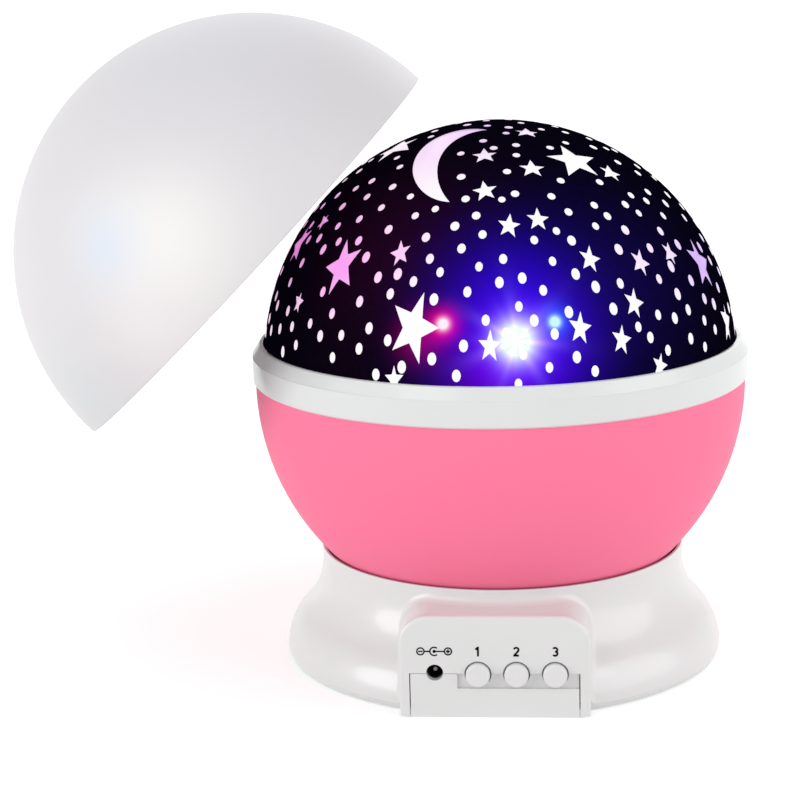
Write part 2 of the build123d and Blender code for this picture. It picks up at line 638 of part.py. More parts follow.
def make_button(x):
    """Push button with its flange behind the wall and a stem towards the switch."""
    cap_y = BLOCK_Y - BUTTON_PROUD
    flange_y = WALL_BACK_Y + FIT
    cap = front_rod(BUTTON_RADIUS, cap_y, flange_y, x, BUTTON_Z)
    cap = fillet(cap.edges().sort_by(Axis.Y)[0], BUTTON_EDGE)
    flange = front_rod(BUTTON_RADIUS + BUTTON_FLANGE, flange_y, flange_y + BUTTON_FLANGE_DEPTH, x, BUTTON_Z)
    stem = front_rod(BUTTON_STEM_RADIUS, flange_y, stem_end_y(), x, BUTTON_Z)
    return cap + flange + stem


def stem_end_y():
    """Where a button's stem ends, one travel and a slip short of its plunger."""
    return plunger_tip_y() - BUTTON_TRAVEL - FIT


def plunger_tip_y():
    """Front of the switch plungers."""
    return BOARD_Y - SWITCH_DEPTH - PLUNGER


def make_switches():
    half = SWITCH_SIZE / 2
    pieces = []
    for x in BUTTON_XS:
        body = block(x - half, x + half, BOARD_Y - SWITCH_DEPTH, BOARD_Y, BUTTON_Z - half, BUTTON_Z + half)
        pieces.append(body + front_rod(PLUNGER_RADIUS, plunger_tip_y(), BOARD_Y - SWITCH_DEPTH, x, BUTTON_Z))
    return pieces


def make_dc_jack():
    half = JACK_WIDTH / 2
    front = WALL_BACK_Y + FIT
    body = block(JACK_X - half, JACK_X + half, front, BOARD_Y, JACK_Z - half, JACK_Z + half)
    return body - front_rod(JACK_BARREL_RADIUS, front - CUT, front + JACK_SOCKET_DEPTH, JACK_X, JACK_Z)


def make_jack_pin():
    front = WALL_BACK_Y + FIT
    pin = front_rod(JACK_PIN_RADIUS, front + JACK_PIN_SETBACK, front + JACK_SOCKET_DEPTH, JACK_X, JACK_Z)
    return fillet(pin.edges().sort_by(Axis.Y)[0], JACK_PIN_RADIUS / 2)


def make_control_board():
    half = BOARD_WIDTH / 2
    board = block(-half, half, BOARD_Y, BOARD_BACK_Y, BOARD_LOW_Z, BOARD_TOP_Z)
    for x in BOARD_POST_XS:
        board -= front_rod(SMALL_SCREW_RADIUS + FIT, BOARD_Y - CUT, BOARD_BACK_Y + CUT, x, BOARD_POST_Z)
    return board


def make_board_screws():
    pieces = []
    for x in BOARD_POST_XS:
        tip = BOARD_BACK_Y - SMALL_SCREW_LENGTH
        shank = front_rod(SMALL_SCREW_RADIUS, tip, BOARD_BACK_Y, x, BOARD_POST_Z)
        head = front_rod(SMALL_HEAD_RADIUS, BOARD_BACK_Y, BOARD_BACK_Y + SMALL_HEAD, x, BOARD_POST_Z)
        pieces.append(shank + head)
    return pieces


def make_driver_chip():
    x = BUTTON_XS[0]
    width, depth, height = CHIP
    low = BOARD_LOW_Z + CHIP_LIFT
    return block(x - width / 2, x + width / 2, BOARD_BACK_Y, BOARD_BACK_Y + depth, low, low + height)


def make_battery_leads():
    """Two leads from the front of the bay to the board, each with a jog half way."""
    pieces = []
    start_y = BAY_FRONT_Y - BAY_WALL
    middle_y = (start_y + BOARD_BACK_Y) / 2
    high = BAY_TOP_Z - LEAD_DROP
    low = high - LEAD_JOG / 3
    for side in (-1, 1):
        x = side * BAY_WIDTH / 4
        end_x = x + side * LEAD_JOG * 2 / 3
        route = ((x, start_y, high), (x, middle_y + LEAD_JOG, high),
                 (end_x, middle_y - LEAD_JOG, low), (end_x, BOARD_BACK_Y, low))
        pieces.append(lead(route, LEAD_RADIUS))
    return pieces


def make_motor_leads():
    """Two leads from the motor can, round the case screw, to the board."""
    side_y = -CAN_RADIUS
    end_x = BOARD_WIDTH / 2 - MOTOR_LEAD_MARGIN
    pieces = []
    for drop in MOTOR_LEAD_DROPS:
        z = GEARBOX_Z - drop
        route = ((PINION_X, side_y, z), (PINION_X, side_y - MOTOR_LEAD_EXIT, z),
                 (PINION_X - MOTOR_LEAD_DROPS[0], side_y - MOTOR_LEAD_BEND, z),
                 (end_x, BOARD_BACK_Y + MOTOR_LEAD_END, z), (end_x, BOARD_BACK_Y, z))
        pieces.append(lead(route, LEAD_RADIUS))
    return pieces


def make_led_cable():
    """Cable from the board, under the deck and up the post to the lamp board."""
    route = ((0, BOARD_BACK_Y, CABLE_Z), (0, 0, CABLE_Z), (0, 0, LAMP_BOARD_Z))
    return lead(route, CABLE_RADIUS, CABLE_BEND)


# ---------------------------------------------------------------- post and lamps
def make_center_post():
    post = rod(POST_FOOT_RADIUS, DECK_LOW_Z - POST_FOOT, DECK_LOW_Z)
    post += rod(POST_SHOULDER_RADIUS, DECK_LOW_Z, SHOULDER_Z)
    post += rod(POST_RADIUS, SHOULDER_Z, POST_TOP_Z)
    post -= rod(POST_BORE_RADIUS, 0, POST_TOP_Z + CUT)
    for x, y in post_screw_places():
        post -= rod(SMALL_SCREW_RADIUS + FIT, 0, DECK_LOW_Z + FIT, x, y)
    return post


def make_post_screws():
    seat = DECK_LOW_Z - POST_FOOT
    return [screw_up(x, y, seat, DECK_SCREW_LENGTH, SMALL_SCREW_RADIUS, SMALL_HEAD_RADIUS, SMALL_HEAD)
            for x, y in post_screw_places()]


def make_thrust_washer():
    return tube(POST_SHOULDER_RADIUS, POST_RADIUS + RUNNING, SHOULDER_Z, SHOULDER_Z + WASHER)


def make_retaining_collar():
    low = HUB_TOP_Z + SLIP
    collar = tube(COLLAR_RADIUS, POST_RADIUS, low, low + COLLAR)
    return fillet(collar.edges().group_by(Axis.Z)[-1].sort_by(SortBy.RADIUS)[-1], COLLAR_EDGE)


def make_lamp_platform():
    socket_low = POST_TOP_Z - SOCKET_DEPTH
    inner = POST_RADIUS + FIT / 2
    platform = rod(inner + SOCKET_WALL, socket_low, PLATFORM_Z)
    platform += rod(PLATFORM_RADIUS, PLATFORM_Z, LAMP_BOARD_Z)
    platform -= rod(inner, socket_low - CUT, POST_TOP_Z)
    platform -= rod(CABLE_RADIUS + SLIP, POST_TOP_Z - CUT, LAMP_BOARD_Z + CUT)
    for x, y in PLATFORM_SCREWS:
        platform -= rod(SMALL_SCREW_RADIUS + FIT, PLATFORM_Z - CUT, LAMP_BOARD_Z + CUT, x, y)
    return platform


def make_lamp_board():
    board = rod(LAMP_BOARD_RADIUS, LAMP_BOARD_Z, LAMP_TOP_Z)
    for x, y in PLATFORM_SCREWS:
        board -= rod(SMALL_SCREW_RADIUS + FIT, LAMP_BOARD_Z - CUT, LAMP_TOP_Z + CUT, x, y)
    return board


def make_lamp_screws():
    pieces = []
    for x, y in PLATFORM_SCREWS:
        shank = rod(SMALL_SCREW_RADIUS, LAMP_TOP_Z - SMALL_SCREW_LENGTH, LAMP_TOP_Z, x, y)
        pieces.append(shank + rod(SMALL_HEAD_RADIUS, LAMP_TOP_Z, LAMP_TOP_Z + SMALL_HEAD, x, y))
    return pieces


def make_led(heading, inset):
    x, y = ring_points(1, LAMP_BOARD_RADIUS - inset, heading)[0]
    flange = rod(LED_FLANGE_RADIUS, LAMP_TOP_Z, LAMP_TOP_Z + LED_FLANGE, x, y)
    top = LAMP_TOP_Z + LED_FLANGE + LED_BODY
    body = rod(LED_RADIUS, LAMP_TOP_Z, top, x, y)
    return flange + body + Pos(x, y, top) * Sphere(LED_RADIUS)


# ---------------------------------------------------------------- globe and drive
def make_bowl():
    slab = block(-REACH, REACH, -REACH, REACH, BOWL_FLOOR_Z, BOWL_RIM_Z)
    inside = block(-REACH, REACH, -REACH, REACH, BOWL_FLOOR_Z + BOWL_FLOOR, BOWL_RIM_Z + CUT)
    centre = Pos(0, 0, BOWL_CENTRE_Z)
    bowl = (centre * Sphere(BOWL_RADIUS)) & slab
    bowl -= (centre * Sphere(BOWL_RADIUS - BOWL_WALL)) & inside
    bowl += rod(HUB_RADIUS, BOWL_FLOOR_Z, HUB_TOP_Z)
    bowl -= rod(BUSH_RADIUS, BOWL_FLOOR_Z - CUT, HUB_TOP_Z + CUT)
    screw_top = BOWL_FLOOR_Z + SMALL_SCREW_LENGTH
    for x, y in gear_screw_places():
        bowl += rod(GEAR_BOSS_RADIUS, BOWL_FLOOR_Z, BOWL_FLOOR_Z + BOWL_FLOOR + GEAR_BOSS, x, y)
        bowl -= rod(SMALL_SCREW_RADIUS + FIT / 2, BOWL_FLOOR_Z - CUT, screw_top, x, y)
    return bowl


def make_hub_bush():
    return tube(BUSH_RADIUS, POST_RADIUS + RUNNING, BOWL_FLOOR_Z, HUB_TOP_Z)


def make_rim_ring():
    low = BOWL_RIM_Z
    band_top = low + RING_BAND
    seat_top = low + RING_SEAT
    seat_inner = RING_BORE_RADIUS - RING_SEAT_WIDTH
    spigot = BOWL_RADIUS - BOWL_WALL - SPIGOT_GAP
    points = [
        (RING_RADIUS - RING_EDGE, low), (RING_RADIUS, low + RING_EDGE), (RING_RADIUS, band_top - RING_CREASE),
        (RING_RADIUS - RING_CREASE, band_top), (RING_LIP_RADIUS, RING_TOP_Z - RING_EDGE / 2),
        (RING_LIP_RADIUS - RING_EDGE, RING_TOP_Z), (RING_BORE_RADIUS, RING_TOP_Z),
        (RING_BORE_RADIUS, seat_top), (seat_inner, seat_top), (seat_inner, low),
        (spigot - SPIGOT_WALL, low), (spigot - SPIGOT_WALL, low - SPIGOT_DEPTH),
        (spigot, low - SPIGOT_DEPTH), (spigot, low),
    ]
    return revolve(Plane.XZ * make_face(Polyline(*points, close=True)), axis=Axis.Z)


def make_drive_gear():
    gear = extrude(Pos(0, 0, GEAR_Z) * gear_outline(GEAR_TEETH, 0.0), amount=GEAR_THICKNESS)
    gear -= rod(GEAR_HOLE_RADIUS, GEAR_Z - CUT, BOWL_FLOOR_Z + CUT)
    for x, y in gear_screw_places():
        gear -= rod(SMALL_SCREW_RADIUS + FIT, GEAR_Z - CUT, BOWL_FLOOR_Z + CUT, x, y)
        gear -= rod(SMALL_HEAD_RADIUS + FIT, GEAR_Z - CUT, GEAR_Z + SMALL_HEAD, x, y)
    return gear


def make_gear_screws():
    seat = GEAR_Z + SMALL_HEAD
    length = BOWL_FLOOR_Z + SMALL_SCREW_LENGTH - seat - FIT
    return [screw_up(x, y, seat, length, SMALL_SCREW_RADIUS, SMALL_HEAD_RADIUS, SMALL_HEAD - FIT)
            for x, y in gear_screw_places()]


def make_drive_pinion():
    """Pinion with a tooth gap turned towards the gear's tooth."""
    low = PINION_TOP_Z - PINION_THICKNESS
    phase = math.pi + math.pi / PINION_TEETH
    pinion = extrude(Pos(PINION_X, 0, low) * gear_outline(PINION_TEETH, phase), amount=PINION_THICKNESS)
    return pinion - rod(SHAFT_RADIUS, low - CUT, PINION_TOP_Z + CUT, PINION_X)


def make_motor_shaft():
    return rod(SHAFT_RADIUS, DECK_LOW_Z - SHAFT_DEPTH, PINION_TOP_Z, PINION_X)


def make_gearbox():
    box = rod(GEARBOX_RADIUS, GEARBOX_Z, DECK_LOW_Z, PINION_X)
    for x, y in ear_places():
        box += rod(EAR_RADIUS, DECK_LOW_Z - EAR, DECK_LOW_Z, x, y)
        box -= rod(SMALL_SCREW_RADIUS + FIT, DECK_LOW_Z - EAR - CUT, DECK_LOW_Z + CUT, x, y)
    return box - rod(SHAFT_RADIUS + RUNNING, DECK_LOW_Z - SHAFT_DEPTH - SLIP, DECK_LOW_Z + CUT, PINION_X)


def make_motor_can():
    can = rod(CAN_RADIUS, GEARBOX_Z - CAN_HEIGHT, GEARBOX_Z, PINION_X)
    return fillet(can.edges().sort_by(Axis.Z)[0], CAN_EDGE)


def make_motor_screws():
    seat = DECK_LOW_Z - EAR
    return [screw_up(x, y, seat, DECK_SCREW_LENGTH, SMALL_SCREW_RADIUS, SMALL_HEAD_RADIUS, SMALL_HEAD)
            for x, y in ear_places()]


# ---------------------------------------------------------------- star dome and cover
def dome_shell(outer, inner):
    """Half round shell on a short straight foot."""
    centre = Pos(0, 0, DOME_CENTRE_Z)
    half = block(-REACH, REACH, -REACH, REACH, DOME_CENTRE_Z, DOME_CENTRE_Z + outer + CUT)
    shell = ((centre * Sphere(outer)) - (centre * Sphere(inner))) & half
    return shell + tube(outer, inner, DOME_FOOT_Z, DOME_CENTRE_Z)


def motif_plane(azimuth, elevation):
    """Plane on the dome with its X along the parallel and its Y up the meridian."""
    a = math.radians(azimuth)
    e = math.radians(elevation)
    outward = Vector(math.cos(e) * math.sin(a), -math.cos(e) * math.cos(a), math.sin(e))
    centre = Vector(0, 0, DOME_CENTRE_Z)
    return Plane(origin=centre + outward * (DOME_RADIUS - MOTIF_DEPTH),
                 x_dir=(math.cos(a), math.sin(a), 0), z_dir=outward)


def stretch_at(elevation):
    """Length of a motif along the meridian at this elevation, relative to its width."""
    share = (STRETCH_FROM - elevation) / (STRETCH_FROM - STRETCH_TO)
    return 1 + STRETCH * min(1.0, max(0.0, share))


def star_face(radius, turn, stretch):
    """Five-pointed star, turned clockwise and stretched upwards."""
    points = []
    for i in range(2 * STAR_POINTS):
        reach = radius if i % 2 == 0 else radius * STAR_WAIST
        angle = math.radians(turn + 180 * i / STAR_POINTS)
        points.append((reach * math.sin(angle), reach * stretch * math.cos(angle)))
    return make_face(Polyline(*points, close=True))


def on_dome(degrees):
    """Length on the dome of an angle seen from its centre."""
    return DOME_RADIUS * math.radians(degrees)


def moon_face(plane):
    """Crescent: a long moon less the bite at the plane's origin."""
    moon, bite = [on_dome(part) for part in (MOON_DEGREES, BITE_DEGREES)]
    across, up = [on_dome(part) for part in MOON_SHIFT_DEGREES]
    whole = Pos(across, up * MOON_STRETCH) * Ellipse(moon, moon * MOON_STRETCH)
    return plane * (whole - Ellipse(bite, bite * MOON_STRETCH))


def make_star_mask():
    """Opaque print with a crescent and stars left clear."""
    cutters = []
    for azimuth, elevation, size, turn in STARS:
        star = star_face(on_dome(size), turn, stretch_at(elevation))
        cutters.append(extrude(motif_plane(azimuth, elevation) * star, amount=MOTIF_DEPTH + CUT))
    crescent = moon_face(motif_plane(BITE_AZIMUTH, BITE_ELEVATION))
    cutters.append(extrude(crescent, amount=MOTIF_DEPTH + CUT))
    return dome_shell(DOME_RADIUS, DOME_RADIUS - PRINT).cut(*cutters)


def make_clear_dome():
    outer = DOME_RADIUS - PRINT
    return dome_shell(outer, outer - DOME_WALL)


def direction(heading, rise):
    """Unit vector from a heading and a height over the horizon, in degrees."""
    a = math.radians(heading)
    e = math.radians(rise)
    return Vector(math.cos(e) * math.cos(a), math.cos(e) * math.sin(a), math.sin(e))


def make_cover():
    """Half round frosted shell, tilted, with its crown up and to the left."""
    shell = Sphere(COVER_RADIUS) - Sphere(COVER_RADIUS - COVER_WALL)
    shell &= block(-REACH, REACH, -REACH, REACH, 0, REACH)
    shell = fillet(shell.edges().group_by(Axis.Z)[0], COVER_EDGE)
    away = direction(COVER_AWAY_HEADING, COVER_AWAY_RISE) * (DOME_RADIUS + COVER_AWAY)
    centre = Vector(0, 0, DOME_CENTRE_Z) + away
    return Plane(origin=centre, z_dir=direction(COVER_HEADING, COVER_RISE)) * shell


# ---------------------------------------------------------------- output
def build():
    """Every node by name."""
    nodes = {
        "base_shell": make_base_shell(),
        "bottom_cover": make_bottom_cover(),
        "case_screws": make_case_screws(),
        "battery_cells": make_battery_cells(),
        "battery_contacts": make_battery_contacts(),
        "battery_leads": make_battery_leads(),
        "battery_door": make_battery_door(),
        "door_screws": make_door_screws(),
        "control_board": make_control_board(),
        "board_screws": make_board_screws(),
        "driver_chip": make_driver_chip(),
        "switches": make_switches(),
        "dc_jack": make_dc_jack(),
        "jack_pin": make_jack_pin(),
        "led_cable": make_led_cable(),
        "center_post": make_center_post(),
        "post_screws": make_post_screws(),
        "thrust_washer": make_thrust_washer(),
        "retaining_collar": make_retaining_collar(),
        "motor_gearbox": make_gearbox(),
        "motor_can": make_motor_can(),
        "motor_screws": make_motor_screws(),
        "motor_leads": make_motor_leads(),
        "motor_shaft": make_motor_shaft(),
        "drive_pinion": make_drive_pinion(),
        "drive_gear": make_drive_gear(),
        "gear_screws": make_gear_screws(),
        "bowl": make_bowl(),
        "hub_bush": make_hub_bush(),
        "rim_ring": make_rim_ring(),
        "lamp_platform": make_lamp_platform(),
        "lamp_board": make_lamp_board(),
        "lamp_screws": make_lamp_screws(),
        "clear_dome": make_clear_dome(),
        "star_mask": make_star_mask(),
        "cover": make_cover(),
    }
    for name, (heading, inset) in LEDS.items():
        nodes[name] = make_led(heading, inset)
    for number, x in enumerate(BUTTON_XS, start=1):
        nodes[f"button_{number}"] = make_button(x)
    return nodes


os.makedirs("parts", exist_ok=True)
for node, shape in build().items():
    if isinstance(shape, list):
        shape = Compound(children=shape)
    export_step(shape, f"parts/{node}.step")
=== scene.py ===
import logging
import math
from dataclasses import dataclass, field
from enum import Enum
from functools import cache
from typing import Union

import bmesh
import bpy
from mathutils import Matrix, Vector


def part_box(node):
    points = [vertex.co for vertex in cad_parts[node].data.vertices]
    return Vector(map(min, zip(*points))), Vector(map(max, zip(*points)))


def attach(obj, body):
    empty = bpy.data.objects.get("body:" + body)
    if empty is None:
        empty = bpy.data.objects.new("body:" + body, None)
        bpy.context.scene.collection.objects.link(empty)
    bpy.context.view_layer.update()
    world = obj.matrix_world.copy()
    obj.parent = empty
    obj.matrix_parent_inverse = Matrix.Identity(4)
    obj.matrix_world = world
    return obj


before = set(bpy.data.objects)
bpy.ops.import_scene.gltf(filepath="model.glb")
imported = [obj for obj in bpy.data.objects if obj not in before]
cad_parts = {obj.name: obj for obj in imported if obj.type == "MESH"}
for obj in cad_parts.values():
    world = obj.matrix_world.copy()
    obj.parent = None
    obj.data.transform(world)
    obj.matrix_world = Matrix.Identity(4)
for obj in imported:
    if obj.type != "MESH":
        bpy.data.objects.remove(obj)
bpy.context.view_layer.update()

LOG = logging.getLogger("night_light")
WELD = 1e-7
Colour = tuple[float, float, float]
Spot = tuple[float, float]
Value = Union["Sock", float, int, bool, tuple, bpy.types.ID, None]
BLACK = (0.0, 0.0, 0.0)
WHITE = (1.0, 1.0, 1.0)
OPERATORS = {"add": "ADD", "sub": "SUBTRACT", "mul": "MULTIPLY", "truediv": "DIVIDE", "pow": "POWER"}


class Slot(Enum):
    """The record's material slots that are passed with the new pieces."""

    BLACK_PLASTIC = "black_plastic"
    CLEAR_PLASTIC = "clear_plastic"


class Axis(Enum):
    """The three axes, by their place in a vector."""

    X = 0
    Y = 1
    Z = 2


def heading(azimuth: float, elevation: float) -> Vector:
    """Gives the unit vector at an azimuth, from -Y towards +X, and an elevation, both in degrees."""
    turn, rise = math.radians(azimuth), math.radians(elevation)
    return Vector((math.sin(turn) * math.cos(rise), -math.cos(turn) * math.cos(rise), math.sin(rise)))


def toned(colour: Colour, share: float) -> Colour:
    """Gives a colour with only a share of its light."""
    return tuple(part * share for part in colour)


def turned(degrees: float, axis: str) -> Matrix:
    """Gives the matrix of a turn about an axis."""
    return Matrix.Rotation(math.radians(degrees), 4, axis)


def new_object(name: str, data: bpy.types.ID) -> bpy.types.Object:
    """Links a new object at the origin that shows a mesh, a light or a camera."""
    made = bpy.data.objects.new(name, data)
    bpy.context.scene.collection.objects.link(made)
    return made


class Sock:
    """A number that a node gives out, on which arithmetic adds Math nodes."""

    def __init__(self, graph: "Graph", socket: bpy.types.NodeSocket) -> None:
        """Keeps the socket and the graph that it stands in."""
        self.graph = graph
        self.socket = socket

    def __abs__(self) -> "Sock":
        """Gives the value without its sign."""
        return self.graph.math("ABSOLUTE", self)

    def above(self, limit: Value) -> "Sock":
        """Gives 1 where the value is over the limit and 0 elsewhere."""
        return self.graph.math("GREATER_THAN", self, limit)

    def around(self, middle: float, spread: float) -> "Sock":
        """Turns 0 to 1 into a range of the given spread round a middle."""
        return self * spread + (middle - spread / 2)

    def smooth(self, low: float, high: float) -> "Sock":
        """Gives 0 at low and 1 at high, with a soft start and end."""
        values = {0: self, 1: low, 2: high, 3: 0.0, 4: 1.0}
        return self.graph.add("ShaderNodeMapRange", {"interpolation_type": "SMOOTHSTEP"}, values)


def overload(symbol: str, operation: str) -> None:
    """Gives sockets an operator and its reflected form, such as mask - 1 and 1 - mask."""
    setattr(Sock, f"__{symbol}__", lambda self, other: self.graph.math(operation, self, other))
    setattr(Sock, f"__r{symbol}__", lambda self, other: self.graph.math(operation, other, self))


for symbol, operation in OPERATORS.items():
    overload(symbol, operation)


class Vec(Sock):
    """A vector or colour that a node gives out, on which arithmetic adds Vector Math nodes."""

    def vector(self, operation: str, values: dict[int, Value]) -> "Vec":
        """Adds a Vector Math node that gives a vector."""
        return self.graph.add("ShaderNodeVectorMath", {"operation": operation}, values, kind=Vec)

    def __add__(self, other: Value) -> "Vec":
        """Adds a vector."""
        return self.vector("ADD", {0: self, 1: other})

    def __sub__(self, other: Value) -> "Vec":
        """Takes a vector away."""
        return self.vector("SUBTRACT", {0: self, 1: other})

    def __mul__(self, factor: Value) -> "Vec":
        """Makes the vector longer or shorter by a factor."""
        return self.vector("SCALE", {0: self, 3: factor})

    __rmul__ = __mul__

    def unit(self) -> "Vec":
        """Gives the vector of length 1 in the same direction."""
        return self.vector("NORMALIZE", {0: self})

    def dot(self, other: Value) -> Sock:
        """Gives the dot product with a vector."""
        settings = {"operation": "DOT_PRODUCT"}
        return self.graph.add("ShaderNodeVectorMath", settings, {0: self, 1: other}, output="Value")

    def part(self, axis: Axis) -> Sock:
        """Gives one of the vector's three parts."""
        return self.graph.add("ShaderNodeSeparateXYZ", {}, {0: self}, output=axis.value)


class Graph:
    """A node tree, with one method that adds any node."""

    def __init__(self, tree: bpy.types.NodeTree) -> None:
        """Keeps the tree that the nodes go into."""
        self.tree = tree

    def add(
        self,
        node_type: str,
        settings: dict[str, object] | None = None,
        values: dict[int | str, Value] | None = None,
        output: int | str = 0,
        kind: type[Sock] = Sock,
    ) -> Sock:
        """Adds a node.

        Args:
            node_type: Blender's name of the node.
            settings: its own properties, which are set first.
            values: numbers, colours or links of its inputs, by index or name.
            output: the output that is given back.
            kind: Sock for a number, Vec for a vector or colour.

        Returns:
            The chosen output.
        """
        node = self.tree.nodes.new(node_type)
        for name, setting in (settings or {}).items():
            setattr(node, name, setting)
        for key, value in (values or {}).items():
            if isinstance(value, Sock):
                self.tree.links.new(value.socket, node.inputs[key])
            else:
                node.inputs[key].default_value = value
        return kind(self, node.outputs[output])

    def math(self, operation: str, first: Value, second: Value = 0.0) -> Sock:
        """Adds a Math node with the given operation and values."""
        return self.add("ShaderNodeMath", {"operation": operation}, {0: first, 1: second})

    def close(self, node_type: str, surface: Sock) -> None:
        """Links a result to the output node of the tree."""
        node = self.tree.nodes.new(node_type)
        self.tree.links.new(surface.socket, node.inputs[0])

    def place(self) -> Vec:
        """Gives the point's place on the object, in metres."""
        return self.add("ShaderNodeTexCoord", output="Object", kind=Vec)

    def direction(self, centre: Vector) -> Vec:
        """Gives the unit vector from a round shell's centre to the point."""
        return (self.place() - tuple(centre)).unit()

    def ray(self, fact: str) -> Sock:
        """Gives what Light Path says of the ray."""
        return self.add("ShaderNodeLightPath", output=fact)

    def blend(self, share: Value, first: Value, second: Value) -> Vec:
        """Mixes two colours.

        Args:
            share: 0 for the first colour and 1 for the second.
            first: a colour of three numbers, or a socket.
            second: another one, in either form.

        Returns:
            The mixed colour.
        """
        ends = [c if isinstance(c, Sock) else (*c, 1.0) for c in (first, second)]
        values = {0: share, 6: ends[0], 7: ends[1]}
        return self.add("ShaderNodeMix", {"data_type": "RGBA", "clamp_factor": True}, values, 2, Vec)

    def noise(self, place: Value, scale: float, detail: float = 2.0) -> Sock:
        """Gives soft noise between 0 and 1, scale times a metre."""
        return self.add("ShaderNodeTexNoise", {}, {"Vector": place, "Scale": scale, "Detail": detail})

    def bump(self, height: Value, strength: float, depth: float) -> Vec:
        """Turns a height from 0 to 1 into a normal; depth is the real height of 1, in metres."""
        values = {"Height": height, "Strength": strength, "Distance": depth}
        return self.add("ShaderNodeBump", {}, values, kind=Vec)

    def principled(self, values: dict[str, Value]) -> Sock:
        """Adds the main shader, with colours of three numbers allowed."""
        colours = {k: (*v, 1.0) for k, v in values.items() if k.endswith("Color") and isinstance(v, tuple)}
        return self.add("ShaderNodeBsdfPrincipled", {}, values | colours)


class GeometryTree(Graph):
    """A Geometry Nodes tree with named inputs, which is baked into a plain mesh."""

    def __init__(self, name: str) -> None:
        """Makes an empty tree of that name."""
        super().__init__(bpy.data.node_groups.new(name, "GeometryNodeTree"))
        self.tree.interface.new_socket(name="Geometry", in_out="OUTPUT", socket_type="NodeSocketGeometry")
        self.source = self.tree.nodes.new("NodeGroupInput")
        self.values: dict[str, Value] = {}

    def input(self, name: str, ending: str, value: Value, kind: type[Sock] = Sock) -> Sock:
        """Adds a named input.

        Args:
            name: the input's name.
            ending: what Blender's name of its socket type ends in.
            value: what the input is set to, by its identifier.
            kind: Sock for a number or object, Vec for a vector.

        Returns:
            The input, to link from.
        """
        item = self.tree.interface.new_socket(name=name, in_out="INPUT", socket_type="NodeSocket" + ending)
        self.values[item.identifier] = value
        return kind(self, self.source.outputs[name])

    def bake(self, name: str) -> bpy.types.Object:
        """Runs the tree once and keeps its result as a plain mesh, at the origin and with no modifier."""
        piece = new_object(name, bpy.data.meshes.new(name))
        modifier = piece.modifiers.new(name, "NODES")
        modifier.node_group = self.tree
        for identifier, value in self.values.items():
            modifier[identifier] = value
        graph = bpy.context.evaluated_depsgraph_get()
        result = bpy.data.meshes.new_from_object(piece.evaluated_get(graph))
        piece.modifiers.remove(modifier)
        piece.data = result
        return piece


@dataclass(frozen=True)
class Finish:
    """What every finish has: a name, and a way to make its material.

    Clouds, waves, flecks, marks and skin count per metre, and other sizes are in metres. The
    unevenness is the range of the roughness, and the tone is the colour's darkest share.
    """

    name: str

    def surface(self, graph: Graph) -> Sock:
        """Adds the finish's nodes and gives its shader."""
        raise NotImplementedError

    @cache
    def material(self) -> bpy.types.Material:
        """Makes the finish's material, once for each finish."""
        material = bpy.data.materials.new(self.name)
        material.use_nodes = True
        material.node_tree.nodes.clear()
        graph = Graph(material.node_tree)
        graph.close("ShaderNodeOutputMaterial", self.surface(graph))
        return material


@dataclass(frozen=True)
class MouldedPlastic(Finish):
    """Moulded plastic with a faint cloudiness and the fine grain of its mould."""

    colour: Colour
    roughness: float = 0.3
    gloss: float = 0.5
    coat: float = 0.0
    mottle: float = 0.03
    cloud: float = 0.025
    grain: float = 0.0007
    relief: float = 0.05
    grain_depth: float = 0.0001
    unevenness: float = 0.08
    coat_roughness: float = 0.12

    def surface(self, graph: Graph) -> Sock:
        """Adds clouds to the colour and the roughness, and grain to the normal."""
        place = graph.place()
        cloud = graph.noise(place, 1 / self.cloud)
        grain = graph.noise(place, 1 / self.grain)
        return graph.principled({
            "Base Color": graph.blend(cloud, toned(self.colour, 1 - self.mottle), self.colour),
            "Roughness": cloud.around(self.roughness, self.unevenness),
            "Specular IOR Level": self.gloss,
            "Coat Weight": self.coat,
            "Coat Roughness": self.coat_roughness,
            "Normal": graph.bump(grain, self.relief, self.grain_depth),
        })


@dataclass(frozen=True)
class Patch:
    """A soft patch of painted light or painted shade on a round shell, by its direction from the centre."""

    azimuth: float
    elevation: float
    width: float
    colour: Colour
    strength: float = 1.0

    def share(self, direction: Vec) -> Sock:
        """Gives how strong the patch is in a direction from the shell's centre."""
        away = direction - tuple(heading(self.azimuth, self.elevation))
        return self.strength * math.e ** (away.dot(away) / (-2 * math.radians(self.width) ** 2))


def painted_light_over(graph: Graph, centre: Vector, colour: Sock, patches: tuple[Patch, ...]) -> Sock:
    """Blends soft patches of painted light and painted shade over the colour of a round shell, one after the
    other.

    Args:
        graph: the material's graph.
        centre: the shell's centre.
        colour: the colour without them.
        patches: the patches, the uppermost last.

    Returns:
        The colour with them.
    """
    direction = graph.direction(centre)
    for patch in patches:
        colour = graph.blend(patch.share(direction), colour, patch.colour)
    return colour


@dataclass(frozen=True)
class FrostedPlastic(Finish):
    """A frosted shell whose colour carries soft patches of painted light and painted shade."""

    centre: Vector
    colour: Colour
    patches: tuple[Patch, ...]
    clouds: float = 22.0
    tone: float = 0.97
    roughness: float = 0.42
    unevenness: float = 0.1
    gloss: float = 0.4
    frost: float = 0.0004
    frost_depth: float = 0.0001
    relief: float = 0.06

    def surface(self, graph: Graph) -> Sock:
        """Mixes the patches of painted light and painted shade into the colour and gives the surface its
        frost.
        """
        place = graph.place()
        cloud = graph.noise(place, self.clouds)
        plain = graph.blend(cloud, toned(self.colour, self.tone), self.colour)
        return graph.principled({
            "Base Color": painted_light_over(graph, self.centre, plain, self.patches),
            "Roughness": cloud.around(self.roughness, self.unevenness),
            "Specular IOR Level": self.gloss,
            "Normal": graph.bump(graph.noise(place, 1 / self.frost), self.relief, self.frost_depth),
        })


